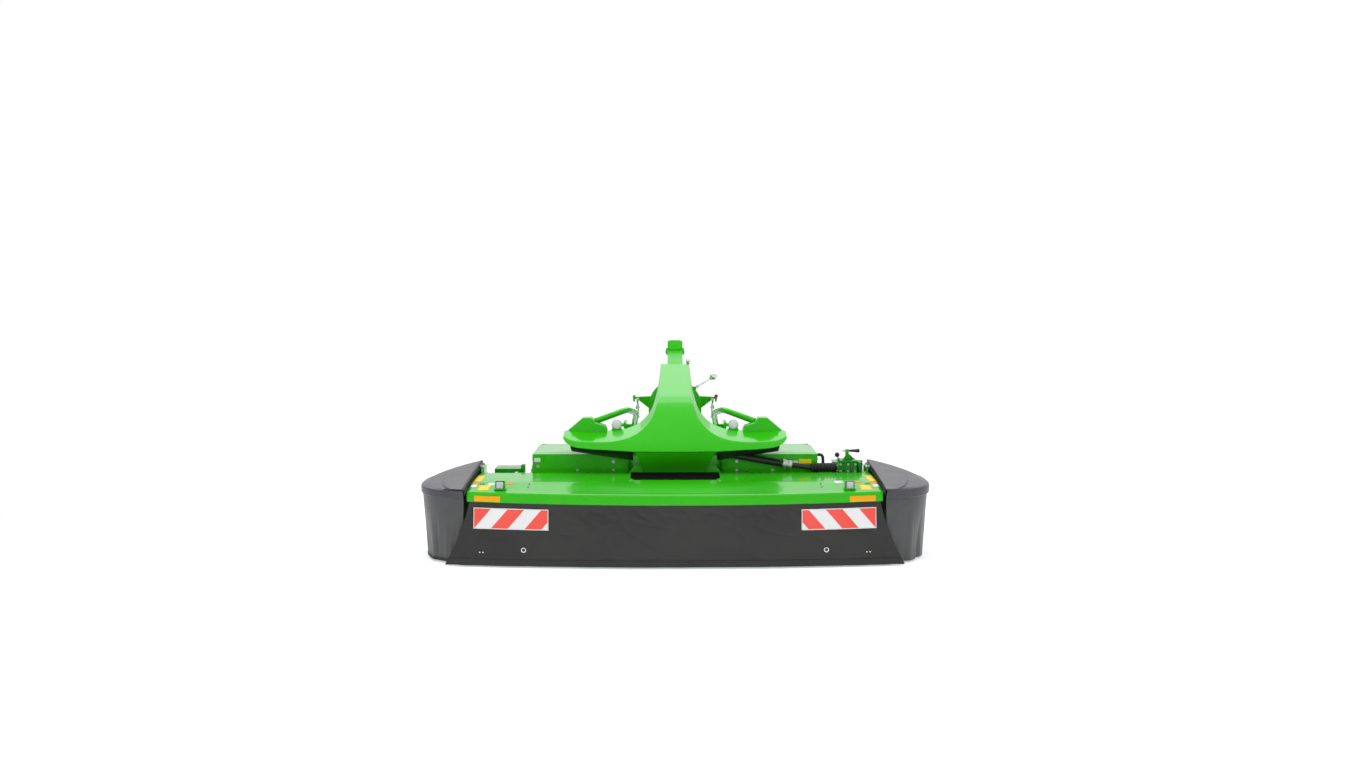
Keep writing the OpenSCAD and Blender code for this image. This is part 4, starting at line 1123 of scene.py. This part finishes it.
structure = {
    "mastFront": [(0.650, 1.222), (0.800, 1.264), (0.905, 1.318), (0.932, 1.386)],
    "mastRear": [(0.954, 1.390), (0.992, 1.350), (1.030, 1.348), (1.062, 1.316), (1.056, 1.270), (0.960, 1.150),
                 (0.880, 1.0823), (0.790, 1.0823), (0.650, 1.050)],
    "earIn": 0.046, "earOut": 0.060, "bossIn": 0.027, "bossOut": 0.070, "topPin": (1.015, 1.300), "bossRadius": 0.030,
    "bossRim": 0.004, "bossShare": 0.82, "mastSkin": (0.011, -0.006),
    "mastBlocks": [((-0.103, 0.649, 1.046), (0.103, 0.668, 1.222), 0.004),
                   ((-0.047, 0.660, 1.060), (0.047, 0.780, 1.200), 0.003)],
    "badge": (0.056, 0.082), "badgeThick": 0.007, "badgeRound": 0.020, "badgeOff": 0.004,
    "archY": (0.800, 0.860), "archMid": 0.870, "archOut": 0.212, "archIn": 0.130,
    "bracket": [(0.772, 0.790), (0.772, 0.809), (0.664, 0.900), (0.598, 0.900), (0.574, 0.862), (0.500, 0.842),
                (0.490, 0.809), (0.490, 0.790)],
    "bracketY": (-0.231, -0.134),
    "armY": (0.814, 0.830), "hookY": (0.802, 0.816), "catchY": (0.806, 0.834),
    "arm": [(0.192, 0.952), (0.330, 0.946), (0.330, 0.934), (0.300, 0.926), (0.204, 0.850)],
    "hook": [(0.292, 0.940), (0.312, 0.940), (0.306, 0.890), (0.316, 0.858), (0.302, 0.842), (0.284, 0.860),
             (0.296, 0.888)],
    "catch": [(0.318, 0.962), (0.340, 0.958), (0.336, 0.912), (0.322, 0.905)],
    "knob": [(turned, [(0.008, 0), (0.013, 0.004), (0.015, 0.014), (0.013, 0.024), (0.006, 0.029)],
              (0.330, 0.806, 0.952), (0, -1, 0.2), 24)],
}


def makeMast():
    s = structure
    bm = bmesh.new()
    ear = s["mastFront"] + s["mastRear"]
    for side in (-1, 1):
        prism(bm, ear, "X", side * s["earIn"], side * s["earOut"])
        rod(bm, (side * s["bossIn"], *s["topPin"]), (side * s["bossOut"], *s["topPin"]), s["bossRadius"], 40)
        rim = side * (s["bossOut"] + s["bossRim"])
        rod(bm, (side * s["bossOut"], *s["topPin"]), (rim, *s["topPin"]), s["bossRadius"] * s["bossShare"], 40)
    back, down = s["mastSkin"]
    inner = [(y + back, z + down) for y, z in s["mastFront"]]
    prism(bm, s["mastFront"] + inner[::-1], "X", -s["earIn"] - 0.001, s["earIn"] + 0.001)
    for block in s["mastBlocks"]:
        roundedBlock(bm, *block)
    piece = finishMesh("hitchMast", bm, "green", "chassis", edges=(0.0022, 3))
    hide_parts("hitch_mast")
    # blank plate with rounded corners on the top of the mast
    half, tall = s["badge"]
    low, high = Vector((0, *s["mastFront"][2])), Vector((0, *s["mastFront"][3]))
    up = (high - low).normalized()
    out = Vector((0, -up.z, up.y))
    middle = (low + high) / 2 + (up + out) * s["badgeOff"]
    part = bmesh.new()
    bmesh.ops.create_cube(part, size=1.0, matrix=Matrix.Diagonal((2 * half, tall, s["badgeThick"], 1)))
    corners = [edge for edge in part.edges if abs(edge.verts[0].co.z - edge.verts[1].co.z) > 0.001]
    bmesh.ops.bevel(part, geom=corners, offset=s["badgeRound"], segments=6, affect="EDGES", profile=0.5, material=-1)
    turn = Matrix((Vector((1, 0, 0)), up, Vector((1, 0, 0)).cross(up))).transposed().to_4x4()
    bm = bmesh.new()
    addPart(bm, part, Matrix.Translation(middle) @ turn)
    finishMesh("mastPlate", bm, "green", "chassis", edges=(0.0015, 3))


def makeArch():
    s = structure
    out, inside, foot = s["archOut"], s["archIn"], 0.650

    def arc(radius, k):
        return (radius * math.cos(math.pi * k / 40), s["archMid"] + radius * math.sin(math.pi * k / 40))

    outline = [(out, foot)] + [arc(out, k) for k in range(41)] + [(-out, foot), (-inside, foot)]
    outline += [arc(inside, 40 - k) for k in range(41)] + [(inside, foot)]
    bm = build([(prism, outline, "Y", *s["archY"])])
    for side in (-1, 1):
        for form in ("arm", "hook", "catch"):
            prism(bm, mirrored(s[form], side), "Y", *s[form + "Y"])
    piece = finishMesh("hitchArch", bm, "green", "chassis", edges=(0.003, 3))
    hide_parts("hitch_arch")
    finishMesh("armKnob", build(s["knob"]), "red", "chassis")


def makeBrackets():
    s = structure
    bm = build([(prism, mirrored(s["bracket"], side), "Y", *s["bracketY"]) for side in (-1, 1)])
    piece = finishMesh("wingBrackets", bm, "green", "chassis", edges=(0.005, 4))
    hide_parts("wing_brackets")


underpanel = {
    "x": (0.300, 0.740), "steps": 16, "low": (0.603, 0.668), "gap": 0.001, "setBack": 0.012, "chamfer": 0.024,
    "lowY": (-0.300, -0.281), "rear": ((-0.281, 0.646, 0.003), (-0.212, 0.650, 0.005)), "topY": -0.206,
}


def makeUnderpanels():
    p = underpanel
    face = [(q.y, q.x) for q in metres(smoothCurve(headstock["face"], 8))]
    edge = [(q.x, q.y) for q in metres(headstock["edge"])]
    bm = bmesh.new()
    for side in (-1, 1):
        loops = []
        for step in range(p["steps"] + 1):
            x, low = (blendValue(*p[key], step / p["steps"]) for key in ("x", "low"))
            top = lookUp(edge, x) + p["gap"]
            front = lookUp(face, top) + p["setBack"]
            outline = [(front, top), (front + p["chamfer"], top - p["chamfer"])] + [(y, low) for y in p["lowY"]]
            outline += [(y, max(least, low + over)) for y, least, over in p["rear"]] + [(p["topY"], top)]
            loops.append([Vector((side * x, y, z)) for y, z in outline])
        loftLoops(bm, loops)
    piece = finishMesh("wingUnderpanels", bm, "black", "chassis", edges=(0.0015, 2))
    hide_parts("wing_underpanels")


notch = {
    "half": 0.335, "wallThick": 0.005, "floor": (-0.003, 0.004),
    "wall": [(-0.270, 0.501), (-0.178, 0.501), (-0.150, 0.534), (-0.110, 0.561), (-0.058, 0.599), (-0.058, 0.642),
             (-0.274, 0.642)],
    "path": [(-0.233, 0.5003), (-0.178, 0.5003), (-0.150, 0.533), (-0.110, 0.560), (-0.058, 0.598), (-0.058, 0.642)],
    "flare": [(0.212, 0.548), (0.236, 0.600), (0.258, 0.604), (0.345, 0.5003), (0.192, 0.5003)],
    "flareY": ((-0.330, -0.322), (-0.290, -0.282)),
}


def makeNotch():
    # walls and sloping floor of the notch behind the keel, and the flares that tie the keel to the beam
    n = notch
    half, (back, up) = n["half"], n["floor"]
    under = [(y + back, z + up) for y, z in n["path"][::-1]]
    bm = build([(prism, n["path"] + under, "X", -half, half)])
    for side in (-1, 1):
        prism(bm, n["wall"], "X", side * half, side * (half + n["wallThick"]))
        for ends in n["flareY"]:
            prism(bm, mirrored(n["flare"], side), "Y", *ends)
    finishMesh("coverNotch", bm, "green", "chassis", edges=(0.0015, 2))


# Lamps on the headstock's wings

wingLamp = {
    "place": (0.421, -0.196, 0.846), "aim": (0, -1, 0.25),
    "housing": [(0.024, -0.042), (0.034, -0.028), (0.037, -0.004), (0.036, 0.003)],
    "glass": [(0.0335, 0.0), (0.0325, 0.004), (0.022, 0.008), (0.007, 0.010)],
    "foot": [(0.380, 0.806), (0.462, 0.806), (0.447, 0.836), (0.395, 0.836)], "footY": (-0.200, -0.184),
}


def makeWingLamps():
    w = wingLamp
    housing, glass = bmesh.new(), bmesh.new()
    for side in (-1, 1):
        spot = (side * w["place"][0], *w["place"][1:])
        turned(housing, w["housing"], spot, w["aim"], 40)
        turned(glass, w["glass"], spot, w["aim"], 40)
        prism(housing, mirrored(w["foot"], side), "Y", *w["footY"])
    body = finishMesh("wingLamps", housing, "green", "chassis", edges=(0.0015, 3))
    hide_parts("wing_lamps")
    finishMesh("wingLampGlass", glass, "clear", "chassis")


# Drive on the right: collar and bellows of the shaft, side gearbox, lever and crank

drive = {
    "collarFrom": (0.768, -0.3078, 0.5795), "collarTo": (0.836, -0.308, 0.5690), "collarRadius": 0.0305,
    "collarRim": 0.003, "collarGroove": (0.40, 0.45, 0.60, 0.65), "collarBolt": 0.007, "boltShare": 0.25,
    "bellowsFrom": (0.9707, -0.308, 0.552), "bellowsLong": 0.2013, "ribs": 9, "ribOut": 0.033, "ribIn": 0.023,
    "ribSteps": (("ribIn", 0.12), ("ribOut", 0.38), ("ribOut", 0.62), ("ribIn", 0.88)),
    "flange": (1.159, -0.308, 0.552), "boltRing": 0.038, "boltAngles": (0.6, 1.6, 2.6, 3.7, 5.7), "bolt": 0.009,
    "boxFront": -0.320, "boxTop": 0.598, "foot": 0.5005,
    "boxRibs": ((1.196, 1.214), (1.250, 1.262), (1.318, 1.306)),   # x at the foot and at the top
    "boxParts": [
        (turned, [(0.044, 0), (0.046, 0.002), (0.046, 0.012), (0.044, 0.014)], (1.159, -0.308, 0.552), (1, 0, 0), 40),
        (roundedBlock, (1.176, -0.326, 0.588), (1.304, -0.186, 0.602), 0.003),
        (roundedBlock, (1.120, -0.304, 0.600), (1.202, -0.288, 0.606), 0.002),
        (prism, [(1.196, 0.598), (1.262, 0.598), (1.244, 0.640), (1.222, 0.640)], "Y", -0.304, -0.296),
        (prism, [(1.262, 0.598), (1.292, 0.598), (1.266, 0.632), (1.256, 0.632)], "Y", -0.262, -0.240),
        (roundedBlock, (1.300, -0.300, 0.556), (1.336, -0.214, 0.572), 0.003),
        (turned, [(0.028, 0), (0.028, 0.010), (0.020, 0.014)], (1.322, -0.256, 0.570), (0, 0, 1), 30),
        (roundedBlock, (1.020, -0.234, 0.5005), (1.176, -0.228, 0.572), 0.001),
        (roundedBlock, (1.300, -0.172, 0.5005), (1.364, -0.166, 0.582), 0.001),
    ],
    "post": [(roundedBlock, (1.226, -0.263, 0.634), (1.250, -0.239, 0.675), 0.002)],
    "axles": [(rod, (1.206, -0.251, 0.663), (1.252, -0.251, 0.663), 0.0045),
              (rod, (1.180, -0.290, 0.598), (1.164, -0.299, 0.632), 0.0055)],
    "handle": [(turned, [(0.006, 0), (0.0075, 0.002), (0.0105, 0.045), (0.0135, 0.068), (0.0125, 0.076),
                         (0.006, 0.079)], (1.250, -0.251, 0.664), (1, 0, 0), 28)],
    "knob": [(ball, (1.161, -0.3005, 0.642), 0.0172)],
    "pipe": [(addPipe, [(1.018, -0.215, 0.628), (1.050, -0.215, 0.630), (1.066, -0.215, 0.618), (1.070, -0.215, 0.596),
                        (1.070, -0.220, 0.545), (1.070, -0.222, 0.498)], 0.011)],
}


def makeShaftCollar():
    d = drive
    r, out = d["collarRadius"], d["collarRadius"] + d["collarRim"]
    start, end = Vector(d["collarFrom"]), Vector(d["collarTo"])
    long = (end - start).length
    groove = [(radius, share * long) for radius, share in zip((out, r, r, out), d["collarGroove"])]
    outline = [(r, 0), (out, d["collarRim"]), *groove, (out, long - d["collarRim"]), (r, long)]
    bm = build([(turned, outline, start, end - start, 36)])
    for angle in range(0, 360, 60):
        aim = Vector((0, math.cos(math.radians(angle)), math.sin(math.radians(angle))))
        addBolt(bm, start.lerp(end, d["boltShare"]) + aim * (r + 0.002), aim, d["collarBolt"])
    finishMesh("shaftCollar", bm, "steel", "chassis", edges=(0.0006, 2))


def makeDrive():
    d = drive
    makeShaftCollar()
    pitch = d["bellowsLong"] / d["ribs"]
    steps = [(d[radius], (k + share) * pitch) for k in range(d["ribs"]) for radius, share in d["ribSteps"]]
    outline = [(d["ribIn"], 0), *steps, (d["ribIn"], d["bellowsLong"])]
    bm = build([(turned, outline, d["bellowsFrom"], (1, 0, 0), 40)])
    bellows = finishMesh("shaftBellows", bm, "rubber", "chassis", edges=(0.0022, 3, 20))
    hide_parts("shaft_bellows")
    front, top, foot = d["boxFront"], d["boxTop"], d["foot"]
    bm = build(d["boxParts"])
    for low, high in d["boxRibs"]:
        rib = [(low, foot), (low + 0.012, foot), (high + 0.010, top - 0.003), (high, top - 0.003)]
        prism(bm, rib, "Y", front - 0.012, front + 0.02)
    finishMesh("gearboxRibs", bm, "darkGreen", "chassis", edges=(0.0012, 2))
    x, y, z = d["flange"]
    ring = d["boltRing"]
    spots = [((x, y + ring * math.cos(a), z + ring * math.sin(a)), (-1, 0, 0)) for a in d["boltAngles"]]
    spots += [((x, front - 0.003, z), (0, -1, 0)) for x in (1.184, 1.238, 1.290) for z in (0.525, 0.575)]
    spots += [((x, y, top + 0.004), (0, 0, 1)) for x in (1.184, 1.288) for y in (-0.310, -0.200)]
    makeBolts("gearboxBolts", spots, "chassis", d["bolt"])
    post = finishMesh("crankPost", build(d["post"]), "green", "chassis", edges=(0.001, 2))
    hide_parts("baffle_crank")
    finishMesh("crankAxle", build(d["axles"]), "steel", "chassis")
    finishMesh("crankHandle", build(d["handle"]), "black", "chassis")
    knob = finishMesh("gearKnob", build(d["knob"]), "black", "chassis")
    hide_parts("gear_lever")
    finishMesh("breatherPipe", build(d["pipe"]), "black", "chassis")


# Coupler holder, hitch pins and other small fittings behind the headstock

stemAim = (0.134, 0.055, 0.074)   # direction of the coupler's rod

fittings = {
    "chrome": [
        (rod, (0.150, 0.600, 1.036), (0.284, 0.655, 1.110), 0.0075),
        (turned, [(0.010, 0), (0.013, 0.004), (0.013, 0.030), (0.010, 0.036)], (0.170, 0.608, 1.047), stemAim, 24),
        (turned, [(0.010, -0.014), (0.016, -0.006), (0.016, 0.002)], (0.286, 0.656, 1.111), stemAim, 24),
        (ball, (0.304, 0.663, 1.121), 0.029, 36, 22),
        (rod, (0.100, 0.690, 1.215), (0.103, 0.690, 1.240), 0.006),
        (ball, (0.104, 0.690, 1.246), 0.019, 28, 18),
    ],
    "pin": (0.296, 0.798), "pinZ": (0.786, 0.892), "nutZ": 0.930, "topPin": (0.024, 0.078), "topPinRadius": 0.0125,
    "holder": [(roundedBlock, (0.104, 0.590, 1.024), (0.166, 0.612, 1.050), 0.003)],
    "ring": [(turned, [(0.0105, 0), (0.0125, 0.003), (0.0125, 0.008), (0.0105, 0.011)],
              (0.1015, 0.690, 1.222), (0.1, 0, 1), 28)],
    "frontY": -0.2755, "frontBolts": ((0.443, 0.590), (0.443, 0.525), (0.985, 0.555), (0.700, 0.525)),   # x and z
    "endX": 1.026, "endBolts": ((-0.200, 0.600), (-0.200, 0.470), (0.180, 0.520), (0.080, 0.600)),       # y and z
}


def makeFittings():
    f = fittings
    bm = build(f["chrome"])
    for side, label in sides:
        x, y = side * f["pin"][0], f["pin"][1]
        low, high = f["pinZ"]
        rod(bm, (x, y, low), (x, y, high), 0.0065)
        ball(bm, (x, y, low), 0.011, 20, 14)
        turned(bm, [(0.012, 0), (0.012, 0.012), (0.010, 0.014)], (x, y, f["nutZ"]), (0, -1, 0), 6)
        ends = [(side * reach, *structure["topPin"]) for reach in f["topPin"]]
        rod(bm, *ends, f["topPinRadius"], 28)
    chrome = finishMesh("chromeFittings", bm, "chrome", "chassis")
    addModifier(chrome, "EDGE_SPLIT", split_angle=math.radians(36))
    finishMesh("couplerBracket", build(f["holder"]), "green", "chassis", edges=(0.001, 2))
    finishMesh("redRing", build(f["ring"]), "red", "chassis")
    spots = [((side * x, f["frontY"], z), (0, -1, 0)) for side, label in sides for x, z in f["frontBolts"]]
    spots += [((side * f["endX"], y, z), (side, 0, 0)) for side, label in sides for y, z in f["endBolts"]]
    makeBolts("coverBolts", spots, "chassis", 0.011)


makeCamera()
makeStudio()
dressNodes()
print("nodes dressed")
makeHood()
makeHoodShadeSheet()
frontSheet = makeFrontCurtain()
sheetPieces = [makeCurtainHemAndShade()] + makeCurtainFittings() + makeBoards()
makeReflectors()
makeStickers()
makeHoodLamps()
makeHoodBolts()
print("front hood and curtain made")
for side, label in sides:
    makeSideHood(side, label)
    makeSideCurtain(side, label)
print("side hoods made")
makeHeadstock()
makeMast()
makeArch()
makeBrackets()
makeUnderpanels()
makeNotch()
print("headstock made")
makeWingLamps()
makeDrive()
makeFittings()
print("drive and fittings made")
